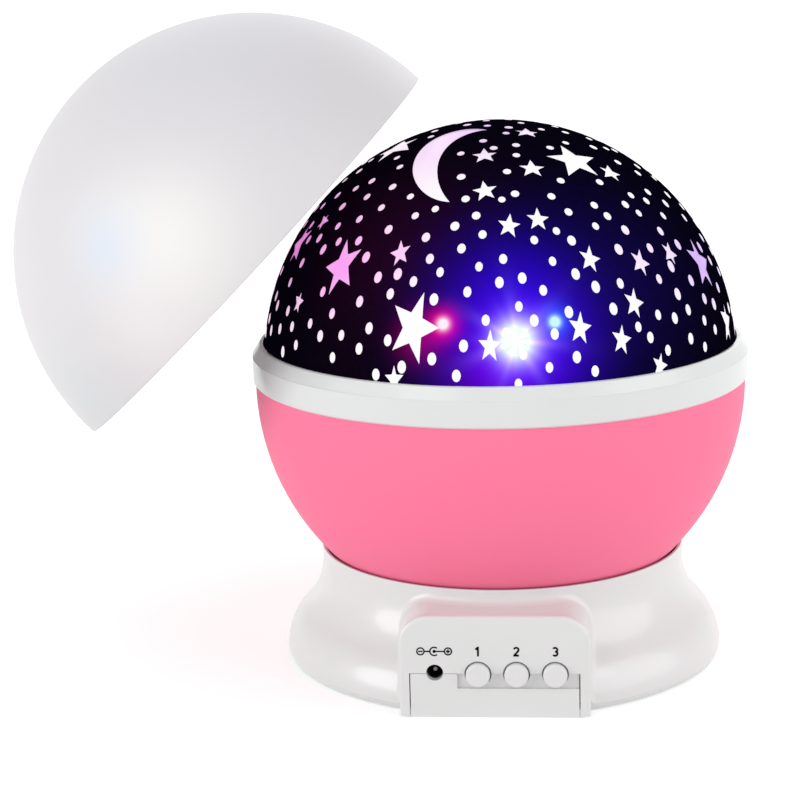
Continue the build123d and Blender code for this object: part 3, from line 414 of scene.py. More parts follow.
@dataclass(frozen=True)
class Flare:
    """The star-shaped glare round a lamp behind the shell, painted on the shell as emission."""

    azimuth: float
    elevation: float
    colour: Colour
    rays: int
    reach: float
    sharpness: float
    strength: float
    lean: float = 0.4

    def light(self, graph: Graph, direction: Vec) -> Vec:
        """Gives the glare's light at a point.

        Args:
            graph: the material's graph.
            direction: the unit vector from the dome's centre to the point.

        Returns:
            The colour that the rays add there.
        """
        middle = heading(self.azimuth, self.elevation)
        east = Vector((0, 0, 1)).cross(middle).normalized()
        across = direction.dot(tuple(east))
        along = direction.dot(tuple(middle.cross(east)))
        angle = graph.math("ARCTAN2", along, across)
        away = (across * across + along * along) ** 0.5
        beam = abs(graph.math("COSINE", angle * (self.rays / 2) + self.lean)) ** self.sharpness
        fade = math.e ** (away * (-1 / math.radians(self.reach)))
        front = direction.dot(tuple(middle)).above(0.0)
        return graph.blend(beam * fade * front, BLACK, self.colour) * self.strength


@dataclass(frozen=True)
class StarPrint(Finish):
    """The dome's opaque print, with the coloured glow of the lamps behind painted on it."""

    centre: Vector
    colour: Colour
    patches: tuple[Patch, ...]
    flares: tuple[Flare, ...]
    cores: tuple[Patch, ...]
    flecks: float = 900.0
    painted_fleck_glow: Colour = (0.0014, 0.0008, 0.0042)
    fleck_depth: float = 0.00005
    relief: float = 0.02
    tone: float = 0.7
    waves: float = 60.0
    roughness: float = 0.25
    unevenness: float = 0.06
    refraction: float = 1.2

    def surface(self, graph: Graph) -> Sock:
        """Adds up the painted glow of the patches over a faint painted glow in the flecks on near black, and
        puts the painted cores and flares on it.
        """
        place, direction = graph.place(), graph.direction(self.centre)
        flecks = graph.noise(place, self.flecks)
        painted_glow = graph.blend(flecks, BLACK, self.painted_fleck_glow)
        for patch in self.patches:
            painted_glow = painted_glow + graph.blend(0.0, patch.colour, patch.colour) * patch.share(direction)
        painted_glow = painted_light_over(graph, self.centre, painted_glow, self.cores)
        for flare in self.flares:
            painted_glow = painted_glow + flare.light(graph, direction)
        return graph.principled({
            "Base Color": graph.blend(flecks, toned(self.colour, self.tone), self.colour),
            "Roughness": graph.noise(place, self.waves).around(self.roughness, self.unevenness),
            "IOR": self.refraction,
            "Specular IOR Level": 0.0,
            "Emission Color": painted_glow,
            "Emission Strength": 1.0,
            "Normal": graph.bump(flecks, self.relief, self.fleck_depth),
        })


@dataclass(frozen=True)
class LitPlastic(Finish):
    """Clear plastic whose shine from the lamps behind is painted as emission."""

    centre: Vector
    colour: Colour
    patches: tuple[Patch, ...]
    clouds: float = 45.0
    tone: float = 0.95
    unlit: Colour = (0.03, 0.03, 0.03)
    roughness: float = 0.22
    unevenness: float = 0.08
    gloss: float = 0.1

    def surface(self, graph: Graph) -> Sock:
        """Mixes the patches of painted coloured light into the painted light that comes through."""
        cloud = graph.noise(graph.place(), self.clouds)
        light = graph.blend(cloud, toned(self.colour, self.tone), self.colour)
        return graph.principled({
            "Base Color": self.unlit,
            "Roughness": cloud.around(self.roughness, self.unevenness),
            "Specular IOR Level": self.gloss,
            "Emission Color": painted_light_over(graph, self.centre, light, self.patches),
            "Emission Strength": 1.0,
        })


@dataclass(frozen=True)
class PlatedMetal(Finish):
    """Plated or drawn metal with fine marks along one axis."""

    colour: Colour
    roughness: float = 0.3
    along: Axis = Axis.Z
    marks: float = 2200.0
    stretch: float = 20.0
    detail: float = 3.0
    tone: float = 0.82
    unevenness: float = 0.2
    relief: float = 0.08
    mark_depth: float = 0.00003

    def surface(self, graph: Graph) -> Sock:
        """Stretches noise along the axis and lets it move colour, roughness and normal."""
        scale = [self.marks] * 3
        scale[self.along.value] = self.marks / self.stretch
        values = {"Vector": graph.place(), "Scale": tuple(scale)}
        marks = graph.noise(graph.add("ShaderNodeMapping", {}, values, kind=Vec), 1.0, self.detail)
        return graph.principled({
            "Base Color": graph.blend(marks, toned(self.colour, self.tone), self.colour),
            "Metallic": 1.0,
            "Roughness": marks.around(self.roughness, self.unevenness),
            "Normal": graph.bump(marks, self.relief, self.mark_depth),
        })


@dataclass(frozen=True)
class CellWrap(Finish):
    """The printed sleeve of a dry cell between its bare ends."""

    sleeve: Colour
    band: Colour
    metal: Colour
    middle: float
    half_length: float
    end: float = 0.0022
    banding: float = 0.62
    clouds: float = 300.0
    tone: float = 0.85
    shine: float = 0.9
    waves: float = 700.0
    roughness: float = 0.33
    unevenness: float = 0.1

    def surface(self, graph: Graph) -> Sock:
        """Splits the cell along its length into metal ends, two bands and the sleeve."""
        place = graph.place()
        away = abs(place.part(Axis.Y) - self.middle)
        bare = away.above(self.half_length - self.end)
        banded = away.above(self.half_length * self.banding)
        sleeve = graph.blend(graph.noise(place, self.clouds), toned(self.sleeve, self.tone), self.sleeve)
        printed = graph.blend(banded, sleeve, self.band)
        return graph.principled({
            "Base Color": graph.blend(bare, printed, self.metal),
            "Metallic": bare * self.shine,
            "Roughness": graph.noise(place, self.waves).around(self.roughness, self.unevenness),
        })


@dataclass(frozen=True)
class LeadJacket(Finish):
    """Soft jackets of wires, one colour on each side of a plane."""

    axis: Axis
    limit: float
    first: Colour = (0.45, 0.02, 0.02)
    second: Colour = (0.012, 0.012, 0.012)
    skin: float = 1500.0
    skin_depth: float = 0.00005
    relief: float = 0.1
    roughness: float = 0.525
    unevenness: float = 0.15

    def surface(self, graph: Graph) -> Sock:
        """Picks the wire's colour by its side and gives it a soft dull skin."""
        place = graph.place()
        skin = graph.noise(place, self.skin)
        return graph.principled({
            "Base Color": graph.blend(place.part(self.axis).above(self.limit), self.first, self.second),
            "Roughness": skin.around(self.roughness, self.unevenness),
            "Normal": graph.bump(skin, self.relief, self.skin_depth),
        })


@dataclass(frozen=True)
class CircuitBoard(Finish):
    """Green solder mask over copper tracks, on a board that lies flat or stands upright."""

    upright: bool
    mask: Colour = (0.02, 0.16, 0.06)
    track: Colour = (0.05, 0.30, 0.12)
    pitch: float = 0.0022
    run: float = 0.00594
    track_width: float = 0.000198
    track_edge: float = 0.2
    track_depth: float = 0.00006
    relief: float = 0.3
    clouds: float = 500.0
    roughness: float = 0.35
    unevenness: float = 0.1

    def surface(self, graph: Graph) -> Sock:
        """Draws the tracks as the joints of a brick pattern, a little raised."""
        tilt = (math.radians(90.0) if self.upright else 0.0, 0.0, 0.0)
        flat = graph.add("ShaderNodeMapping", {}, {"Vector": graph.place(), "Rotation": tilt}, kind=Vec)
        pattern = {"offset": 0.37, "squash": 0.6, "squash_frequency": 3}
        sizes = {"Scale": 1.0, "Brick Width": self.run, "Row Height": self.pitch}
        edges = {"Mortar Size": self.track_width, "Mortar Smooth": self.track_edge}
        tracks = graph.add("ShaderNodeTexBrick", pattern, {"Vector": flat} | sizes | edges, "Fac")
        return graph.principled({
            "Base Color": graph.blend(tracks, self.mask, self.track),
            "Roughness": graph.noise(flat, self.clouds).around(self.roughness, self.unevenness),
            "Normal": graph.bump(tracks, self.relief, self.track_depth),
        })


@dataclass(frozen=True)
class LampLens(Finish):
    """The epoxy of a lit lamp, paler where its chip shines through."""

    colour: Colour
    strength: float = 2.2
    clouds: float = 400.0
    waves: float = 800.0
    roughness: float = 0.125
    unevenness: float = 0.05

    def surface(self, graph: Graph) -> Sock:
        """Lets soft noise move the lamp's light between its colour and a paler one."""
        place = graph.place()
        paler = tuple((part + 1.0) / 2 for part in self.colour)
        return graph.principled({
            "Base Color": self.colour,
            "Roughness": graph.noise(place, self.waves).around(self.roughness, self.unevenness),
            "Emission Color": graph.blend(graph.noise(place, self.clouds), paler, self.colour),
            "Emission Strength": self.strength,
        })


@dataclass(frozen=True)
class StudioFloor(Finish):
    """A pale floor that keeps the object's shadow and is clear from below."""

    colour: Colour = (0.90, 0.90, 0.895)
    lift: float = 0.31
    tint: Colour = (0.93, 1.0, 0.99)
    gap: float = 0.0005
    gap_light: float = 0.38

    def surface(self, graph: Graph) -> Sock:
        """Adds light to the floor where the camera or a reflection sees it, and close under the feet."""
        shown = graph.math("MAXIMUM", graph.ray("Is Camera Ray"), graph.ray("Is Glossy Ray"))
        under = 1.0 - graph.ray("Ray Length").above(self.gap)
        strength = shown * self.lift + under * self.gap_light
        tint = graph.blend(under, self.tint, WHITE)
        lift = graph.add("ShaderNodeEmission", {}, {"Color": tint, "Strength": strength})
        diffuse = graph.add("ShaderNodeBsdfDiffuse", {}, {"Color": (*self.colour, 1.0)})
        pale = graph.add("ShaderNodeAddShader", {}, {0: diffuse, 1: lift})
        clear = graph.add("ShaderNodeBsdfTransparent")
        below = graph.add("ShaderNodeNewGeometry", output="Backfacing")
        return graph.add("ShaderNodeMixShader", {}, {0: below, 1: pale, 2: clear})


# The white shell leans a little to green and blue, a painted offset of the pink light that the bowl throws
# on it.
WHITE_SHELL = MouldedPlastic("white_shell", (0.697, 0.712, 0.707), coat=0.5, mottle=0.015)
BUTTON_WHITE = MouldedPlastic("button_white", (0.715, 0.725, 0.728), roughness=0.34, gloss=0.4, mottle=0.02)
PINK_BOWL = MouldedPlastic("pink_bowl", (0.97, 0.20, 0.345), roughness=0.55, gloss=0.15, mottle=0.015)
INNER_PLASTIC = MouldedPlastic("inner_plastic", (0.72, 0.72, 0.70), roughness=0.5, relief=0.12)
GEAR_PLASTIC = MouldedPlastic("gear_plastic", (0.78, 0.76, 0.68), roughness=0.42, mottle=0.05)
BLACK_PLASTIC = MouldedPlastic("black_plastic", (0.012, 0.012, 0.013), roughness=0.45, relief=0.15)
SCREW_STEEL = PlatedMetal("screw_steel", (0.62, 0.62, 0.64))
CONTACT_PLATE = PlatedMetal("contact_plate", (0.75, 0.73, 0.68), 0.22, Axis.X)
MOTOR_STEEL = PlatedMetal("motor_steel", (0.55, 0.55, 0.57), 0.34)
PANEL_BOARD = CircuitBoard("panel_board", upright=True)
LAMP_BOARD = CircuitBoard("lamp_board", upright=False)
PRINTED_INK = MouldedPlastic("printed_ink", (0.004, 0.004, 0.005), roughness=0.6, gloss=0.05, mottle=0.2)
INLET_PIN = PlatedMetal("inlet_pin", (0.22, 0.22, 0.22), 0.4, Axis.Y)


@dataclass
class Assembly:
    """A group of pieces that are dressed together."""

    def dress(self, finish: Finish, *nodes: str) -> None:
        """Gives CAD nodes their material."""
        for node in nodes:
            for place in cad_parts[node].material_slots:
                place.material = finish.material()
            LOG.info("%s: finish %s", node, finish.name)

    def dress_leads(self, name: str, node: str, axis: Axis) -> None:
        """Gives a pair of leads a red and a black jacket, on either side of the middle of its box."""
        low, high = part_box(node)
        self.dress(LeadJacket(name, axis, (low[axis.value] + high[axis.value]) / 2), node)

    def add(self, piece: bpy.types.Object, finish: Finish, body: str, slot: Slot) -> None:
        """Finishes a new piece and makes it ride on a body.

        Args:
            piece: the new object, in its place.
            finish: the finish of its whole surface.
            body: the CAD body that carries it.
            slot: the record's slot that its finish stands for; not used.
        """
        piece.data.materials.clear()
        piece.data.materials.append(finish.material())
        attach(piece, body)
        LOG.info("%s: %d faces on %s", piece.name, len(piece.data.polygons), body)

    def build(self) -> None:
        """Makes and dresses the group's pieces."""
        raise NotImplementedError


@dataclass
class Housing(Assembly):
    """The white base, its bottom cover and their screws."""

    def build(self) -> None:
        """Dresses the shells and the screws."""
        self.dress(WHITE_SHELL, "base_shell", "bottom_cover", "battery_door")
        self.dress(SCREW_STEEL, "case_screws", "door_screws")


@dataclass
class PanelPrint:
    """Flat printed marks on the front of the control block."""

    face: float
    ink: float = 0.00006
    steps: int = 40
    mesh: bmesh.types.BMesh = field(default_factory=bmesh.new)

    def ribbon(self, path: list[Spot], width: float) -> None:
        """Draws a band along a path.

        Args:
            path: the points of its middle line, across and up, in metres.
            width: the band's width.
        """
        rims = []
        for index, (x, z) in enumerate(path):
            before, after = path[max(index - 1, 0)], path[min(index + 1, len(path) - 1)]
            if path[0] == path[-1] and index in (0, len(path) - 1):
                before, after = path[-2], path[1]
            away = Vector((before[1] - after[1], after[0] - before[0])).normalized() * width / 2
            rims.append([self.mesh.verts.new((x + s * away.x, self.face, z + s * away.y)) for s in (1, -1)])
        for (left, right), (next_left, next_right) in zip(rims, rims[1:]):
            self.mesh.faces.new((left, right, next_right, next_left))

    def arc(self, centre: Spot, radius: float, start: float, sweep: float, width: float) -> Spot:
        """Draws a band along a circle.

        Args:
            centre: the circle's middle, across and up.
            radius: its radius.
            start: where the band starts, in degrees from the right.
            sweep: how many degrees it runs on, anticlockwise.
            width: the band's width.

        Returns:
            The end of its middle line.
        """
        turns = [math.radians(start + sweep * i / self.steps) for i in range(self.steps + 1)]
        path = [(centre[0] + radius * math.cos(t), centre[1] + radius * math.sin(t)) for t in turns]
        if sweep == 360:
            path[-1] = path[0]
        self.ribbon(path, width)
        return path[-1]

    def numeral(self, number: int, centre: Spot, height: float, width: float) -> None:
        """Draws a 1, 2 or 3 in bands of one width.

        Args:
            number: the numeral.
            centre: its middle, across and up.
            height: its height.
            width: the width of its bands.
        """
        x, z = centre
        h = (height - width) / 2
        if number == 1:
            self.ribbon([(x - 0.5 * h, z + 0.5 * h), (x + 0.1 * h, z + h)], width)
            self.ribbon([(x + 0.1 * h, z + height / 2), (x + 0.1 * h, z - height / 2)], width)
        elif number == 2:
            bend = self.arc((x, z + 0.46 * h), 0.54 * h, 165, -205, width)
            self.ribbon([bend, (x - 0.5 * h, z - h)], width)
            self.ribbon([(x - 0.5 * h - width / 2, z - h), (x + 0.6 * h, z - h)], width)
        else:
            self.arc((x, z + 0.48 * h), 0.52 * h, 150, -240, width)
            self.arc((x, z - 0.46 * h), 0.54 * h, 90, -240, width)

    def dot(self, centre: Spot, radius: float) -> None:
        """Draws a filled round dot."""
        rim = []
        for step in range(self.steps):
            turn = 2 * math.pi * step / self.steps
            place = (centre[0] + radius * math.cos(turn), self.face, centre[1] + radius * math.sin(turn))
            rim.append(self.mesh.verts.new(place))
        self.mesh.faces.new(rim)

    def finish(self, name: str) -> bpy.types.Object:
        """Gives the marks their thickness of ink and makes them one piece, stored in a fixed order."""
        bmesh.ops.remove_doubles(self.mesh, verts=self.mesh.verts, dist=WELD)
        raised = bmesh.ops.extrude_face_region(self.mesh, geom=self.mesh.faces[:])
        front = [v for v in raised["geom"] if isinstance(v, bmesh.types.BMVert)]
        bmesh.ops.translate(self.mesh, verts=front, vec=(0, -self.ink, 0))
        bmesh.ops.recalc_face_normals(self.mesh, faces=self.mesh.faces)
        corners = sorted(self.mesh.verts, key=lambda corner: tuple(corner.co))
        index = {corner: number for number, corner in enumerate(corners)}
        rings = [[index[corner] for corner in face.verts] for face in self.mesh.faces]
        faces = sorted(ring[ring.index(min(ring)):] + ring[:ring.index(min(ring))] for ring in rings)
        mesh = bpy.data.meshes.new(name)
        mesh.from_pydata([tuple(corner.co) for corner in corners], [], faces)
        self.mesh.free()
        return new_object(name, mesh)


@dataclass
class ControlPanel(Assembly):
    """The buttons, the power socket and the marks printed over them."""

    label_height: float = 0.0164
    digit_height: float = 0.0024
    digit_line: float = 0.00045
    symbol_width: float = 0.0082
    symbol_ring: float = 0.00085
    sign_reach: float = 0.6
    cup_reach: float = 1.2
    pin_dot: float = 0.45
    line: float = 0.00032

    def build(self) -> None:
        """Dresses the pieces that show and prints the marks."""
        for number in (1, 2, 3):
            self.dress(BUTTON_WHITE, f"button_{number}")
            self.add(self.digit(number), PRINTED_INK, "base", Slot.BLACK_PLASTIC)
        self.dress(BLACK_PLASTIC, "dc_jack")
        self.dress(INLET_PIN, "jack_pin")
        self.add(self.polarity_mark(), PRINTED_INK, "base", Slot.BLACK_PLASTIC)

    def face(self) -> float:
        """Gives the place of the control block's front."""
        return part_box("base_shell")[0].y

    def digit(self, number: int) -> bpy.types.Object:
        """Prints a button's number over it."""
        low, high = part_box(f"button_{number}")
        marks = PanelPrint(self.face())
        marks.numeral(number, ((low.x + high.x) / 2, self.label_height), self.digit_height, self.digit_line)
        return marks.finish(f"digit_{number}")

    def polarity_mark(self) -> bpy.types.Object:
        """Prints the usual sign of a socket whose centre is positive."""
        low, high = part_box("jack_pin")
        x, z, r = (low.x + high.x) / 2, self.label_height, self.symbol_ring
        reach, arm, cup = self.symbol_width / 2 - r, self.sign_reach * r, self.cup_reach * r
        marks = PanelPrint(self.face())
        for side in (-1, 1):
            marks.arc((x + side * reach, z), r, 0, 360, self.line)
            marks.ribbon([(x + side * reach - arm, z), (x + side * reach + arm, z)], self.line)
        marks.ribbon([(x + reach, z - arm), (x + reach, z + arm)], self.line)
        marks.ribbon([(x - reach + r, z), (x - cup, z)], self.line)
        marks.ribbon([(x, z), (x + reach - r, z)], self.line)
        marks.arc((x, z), cup, 50, 260, self.line)
        marks.dot((x, z), self.pin_dot * r)
        return marks.finish("polarity_mark")


@dataclass
class Globe(Assembly):
    """The pink bowl, its white ring, and the gear and bush that it turns on."""

    def build(self) -> None:
        """Dresses the pieces that turn."""
        self.dress(PINK_BOWL, "bowl")
        self.dress(WHITE_SHELL, "rim_ring")
        self.dress(INNER_PLASTIC, "hub_bush")
        self.dress(GEAR_PLASTIC, "drive_gear")
        self.dress(SCREW_STEEL, "gear_screws")


@dataclass
class StarDome(Assembly):
    """The dome with its opaque print, and the small clear dots between the stars."""

    count: int = 450
    lowest: float = 0.11
    dot_radius: float = 0.00098
    dot_stretch: float = 0.4
    dot_height: float = 0.00012
    margin: float = 0.0005
    jitter: float = 0.025
    seed: int = 7
    dot_swell: Spot = (0.88, 1.1)
    dot_segments: int = 14
    dot_rings: int = 4
    stretch_fade: Spot = (0.45, 0.85)
    ray_start: float = 0.001
    ray_length: float = 0.0014
    wall_slope: float = 0.4
    red_lamp: Spot = (-10.8, 18.7)
    white_lamp: Spot = (6.2, 14.9)
    blue_lamp: Spot = (15.5, 18.8)
    centre: Vector = field(init=False)
    radius: float = field(init=False)

    def __post_init__(self) -> None:
        """Reads the dome's centre and radius from the printed shell."""
        low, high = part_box("star_mask")
        self.radius = (high.x - low.x) / 2
        self.centre = Vector(((high.x + low.x) / 2, (high.y + low.y) / 2, high.z - self.radius))

    def build(self) -> None:
        """Dresses the two shells and sets the dots."""
        self.dress(self.print_finish(), "star_mask")
        lit = self.lit_finish()
        self.dress(lit, "clear_dome")
        rims = self.motif_rims()
        dots = self.dot_tree(lit, rims).bake("star_dots")
        bpy.data.objects.remove(rims)
        self.add(dots, lit, "star_dome", Slot.CLEAR_PLASTIC)

    def print_finish(self) -> StarPrint:
        """Gives the print with the lamps' glow painted on it where it shows from the front."""
        # Painted glow: a violet and blue haze round the white lamp, red and blue spots at the other lamps,
        # faint reddish and navy glow to the sides, painted glare rays from the white lamp and bright painted
        # cores at all three lamps.
        patches = (
            Patch(6.8, 15.2, 3.8, (0.34, 0.09, 0.60), 0.9),
            Patch(7.0, 13.5, 10.0, (0.050, 0.001, 0.92)),
            Patch(5.0, 26.0, 10.0, (0.004, 0.0005, 0.26)),
            Patch(2.0, 9.0, 7.0, (0.085, 0.0, 0.12)),
            Patch(*self.red_lamp, 2.2, (0.95, 0.0, 0.12), 0.95),
            Patch(-16.0, 15.5, 3.4, (0.25, 0.0, 0.055)),
            Patch(*self.blue_lamp, 2.2, (0.0, 0.12, 0.80), 0.9),
            Patch(-24.0, 34.0, 15.0, (0.011, 0.0, 0.006)),
            Patch(30.0, 26.0, 15.0, (0.003, 0.0008, 0.046)),
        )
        flares = (
            Flare(*self.white_lamp, (0.75, 0.45, 1.0), 7, 3.2, 9.0, 0.95),
            Flare(*self.white_lamp, (0.80, 0.30, 1.0), 12, 2.4, 4.0, 0.55),
        )
        cores = (
            Patch(*self.white_lamp, 2.6, (0.84, 1.0, 0.93), 2.0),
            Patch(*self.red_lamp, 0.8, (1.0, 0.86, 0.95), 2.0),
            Patch(*self.blue_lamp, 0.8, (0.58, 0.95, 0.94), 2.0),
        )
        dark = (0.0015, 0.001, 0.003)
        return StarPrint("star_print", self.centre.freeze(), dark, patches, flares, cores)

    def lit_finish(self) -> LitPlastic:
        """Gives the shining plastic, with the painted light of the coloured lamps in patches."""
        patches = (
            Patch(-58.0, 46.0, 10.0, (0.92, 0.60, 0.74), 0.75),
            Patch(-73.0, 32.0, 15.0, (0.66, 0.17, 0.56)),
            Patch(-43.5, 30.0, 8.5, (0.96, 0.32, 0.88), 0.95),
            Patch(-25.5, 35.0, 5.5, (0.97, 0.55, 0.92), 0.9),
            Patch(69.5, 27.0, 8.5, (0.58, 0.33, 0.88), 0.95),
            Patch(46.0, 31.0, 7.0, (0.86, 0.66, 0.95), 0.7),
            Patch(-20.0, 79.0, 10.0, (0.62, 0.40, 0.72)),
            Patch(-31.0, 66.0, 7.0, (0.90, 0.64, 0.90), 0.7),
        )
        return LitPlastic("lit_dome", self.centre.freeze(), (1.0, 0.99, 1.0), patches)

    def motif_rims(self) -> bpy.types.Object:
        """Copies the side walls of the print's openings and marks the lamps, to keep dots away."""
        walls = bmesh.new()
        walls.from_mesh(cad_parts["star_mask"].data)
        bmesh.ops.remove_doubles(walls, verts=walls.verts, dist=WELD)
        skin = []
        for face in walls.faces:
            outward = (face.calc_center_median() - self.centre).normalized()
            if abs(face.normal.dot(outward)) > self.wall_slope:
                skin.append(face)
        bmesh.ops.delete(walls, geom=skin, context="FACES")
        for lamp in (self.red_lamp, self.blue_lamp, self.white_lamp):
            place = Matrix.Translation(self.centre + heading(*lamp) * self.radius)
            bmesh.ops.create_icosphere(walls, subdivisions=1, radius=self.dot_radius, matrix=place)
        mesh = bpy.data.meshes.new("motif_rims")
        walls.to_mesh(mesh)
        walls.free()
        return new_object("motif_rims", mesh)

    def dot_tree(self, finish: Finish, rims: bpy.types.Object) -> GeometryTree:
        """Makes the tree that spreads the dots over the print, clear of its motifs.

        Args:
            finish: the dots' finish.
            rims: what the dots keep away from.

        Returns:
            The tree, ready to bake.
        """
        tree = GeometryTree("star_dots")
        count = tree.input("Count", "Int", self.count)
        centre = tree.input("Centre", "Vector", tuple(self.centre), Vec)
        radius = tree.input("Dome Radius", "Float", self.radius)
        dot = tree.input("Dot Radius", "Float", self.dot_radius)
        seed = tree.input("Seed", "Int", self.seed)

        # The points lie on a golden spiral from the lowest height to the crown, each a little out of place.
        lowest = tree.input("Lowest", "Float", self.lowest)
        index = tree.add("GeometryNodeInputIndex")
        up = (index + 0.5) / count * (1.0 - lowest) + lowest
        out = (1.0 - up * up) ** 0.5
        turn = index * (math.pi * (3 - math.sqrt(5)))
        spiral = {0: tree.math("COSINE", turn) * out, 1: tree.math("SINE", turn) * out, 2: up}
        spot = tree.add("ShaderNodeCombineXYZ", {}, spiral, kind=Vec)
        cube = {0: (-1, -1, -1), 1: (1, 1, 1), 8: seed}
        shake = tree.add("FunctionNodeRandomValue", {"data_type": "FLOAT_VECTOR"}, cube, kind=Vec)
        spread = (spot + shake * tree.input("Jitter", "Float", self.jitter)).unit()
        points = tree.add("GeometryNodePoints", {}, {0: count, 1: centre + spread * radius})

        # A point stays where a short ray inwards meets the print and no rim is near.
        normal = (tree.add("GeometryNodeInputPosition", kind=Vec) - centre).unit()
        solid = tree.input("Print", "Object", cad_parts["star_mask"])
        ray = {
            "Target Geometry": tree.add("GeometryNodeObjectInfo", {}, {0: solid}, "Geometry"),
            "Source Position": centre + normal * (radius + self.ray_start),
            "Ray Direction": normal * -1.0,
            "Ray Length": self.ray_length,
        }
        printed = tree.add("GeometryNodeRaycast", {}, ray)
        walls = tree.add("GeometryNodeObjectInfo", {}, {0: tree.input("Rims", "Object", rims)}, "Geometry")
        near = tree.add("GeometryNodeProximity", {"target_element": "FACES"}, {0: walls}, "Distance")
        spoilt = (1.0 - printed) + (dot + tree.input("Margin", "Float", self.margin)).above(near)
        kept = tree.add("GeometryNodeDeleteGeometry", {"domain": "POINT"}, {0: points, 1: spoilt.above(0.5)})

        # Each dot is a flat ball that lies on the dome and grows taller down its sides.
        ball = tree.add("GeometryNodeMeshUVSphere", {}, {0: self.dot_segments, 1: self.dot_rings, 2: 1.0})
        outward = tree.add("FunctionNodeAlignRotationToVector", {"axis": "Z"}, {"Vector": normal})
        upwards = {"Rotation": outward, "Vector": (0, 0, 1)}
        upright = tree.add("FunctionNodeAlignRotationToVector", {"axis": "Y", "pivot_axis": "Z"}, upwards)
        ease = 1.0 - normal.part(Axis.Z).smooth(*self.stretch_fade)
        swell = {2: self.dot_swell[0], 3: self.dot_swell[1], 8: seed}
        wide = dot * tree.add("FunctionNodeRandomValue", {"data_type": "FLOAT"}, swell, 1)
        tall = wide * (1.0 + tree.input("Stretch", "Float", self.dot_stretch) * ease)
        height = tree.input("Height", "Float", self.dot_height)
        scale = tree.add("ShaderNodeCombineXYZ", {}, {0: wide, 1: tall, 2: height}, kind=Vec)
        placing = {"Points": kept, "Instance": ball, "Rotation": upright, "Scale": scale}
        dots = tree.add("GeometryNodeInstanceOnPoints", {}, placing)
        real = tree.add("GeometryNodeRealizeInstances", {}, {0: dots})
        smooth = tree.add("GeometryNodeSetShadeSmooth", {}, {0: real})
        coloured = tree.add("GeometryNodeSetMaterial", {}, {0: smooth, 2: finish.material()})
        tree.close("NodeGroupOutput", coloured)
        return tree


@dataclass
class FrostedCover(Assembly):
    """The frosted half ball that has been lifted off."""

    def build(self) -> None:
        """Dresses the cover with its patches of painted light and painted shade."""
        low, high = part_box("cover")
        radius = (high.y - low.y) / 2
        centre = Vector((low.x + radius, low.y + radius, high.z - radius)).freeze()
        # Painted shade darkens the top and the upper right; a painted highlight, a bluish painted light and
        # a paler painted light sit at the front left, and painted shade lower left.
        patches = (
            Patch(15.0, 75.0, 26.0, (0.60, 0.60, 0.64), 0.8),
            Patch(50.0, 52.0, 16.0, (0.60, 0.58, 0.60), 0.75),
            Patch(-11.0, 11.0, 11.0, (0.86, 0.85, 0.825), 0.85),
            Patch(-27.0, 10.0, 6.0, (0.60, 0.68, 0.80), 0.65),
            Patch(-16.0, -6.0, 9.0, (0.84, 0.79, 0.81), 0.5),
            Patch(-42.0, -28.0, 9.0, (0.64, 0.68, 0.70), 0.6),
        )
        self.dress(FrostedPlastic("frosted_white", centre, (0.708, 0.688, 0.708), patches), "cover")


@dataclass
class PowerPack(Assembly):
    """The cells, their contacts and their leads."""

    def build(self) -> None:
        """Dresses the cells by their length and the leads by their side."""
        low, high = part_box("battery_cells")
        colours = (0.015, 0.09, 0.05), (0.55, 0.33, 0.08), (0.72, 0.72, 0.72)
        wrap = CellWrap("cell_can", *colours, (low.y + high.y) / 2, (high.y - low.y) / 2)
        self.dress(wrap, "battery_cells")
        self.dress(CONTACT_PLATE, "battery_contacts")
        self.dress_leads("battery_jacket", "battery_leads", Axis.X)


@dataclass
class Controls(Assembly):
    """The control board behind the panel, with what is soldered and screwed to it."""

    def build(self) -> None:
        """Dresses the board and its parts."""
        self.dress(PANEL_BOARD, "control_board")
        self.dress(BLACK_PLASTIC, "driver_chip", "switches")
        self.dress(SCREW_STEEL, "board_screws")


@dataclass
class Drive(Assembly):
    """The gear motor and its pinion."""

    def build(self) -> None:
        """Dresses the motor's pieces."""
        self.dress(MOTOR_STEEL, "motor_can")
        self.dress(INNER_PLASTIC, "motor_gearbox")
        self.dress(SCREW_STEEL, "motor_screws", "motor_shaft")
        self.dress(GEAR_PLASTIC, "drive_pinion")
        self.dress_leads("motor_jacket", "motor_leads", Axis.Z)


@dataclass
class LampPost(Assembly):
    """The fixed post, the board on it and its four lamps."""

    cable_middle: float = 0.04

    def build(self) -> None:
        """Dresses the post, the board and the lamps."""
        self.dress(INNER_PLASTIC, "center_post", "thrust_washer", "retaining_collar", "lamp_platform")
        self.dress(SCREW_STEEL, "post_screws", "lamp_screws")
        self.dress(LAMP_BOARD, "lamp_board")
        greys = (0.03, 0.03, 0.032), (0.035, 0.035, 0.037)
        self.dress(LeadJacket("cable_jacket", Axis.Z, self.cable_middle, *greys), "led_cable")
        lamps = {
            "led_white": (0.85, 0.92, 1.0), "led_red": (1.0, 0.03, 0.03),
            "led_blue": (0.03, 0.12, 1.0), "led_green": (0.04, 0.9, 0.15),
        }
        for node, colour in lamps.items():
            self.dress(LampLens(node, colour), node)


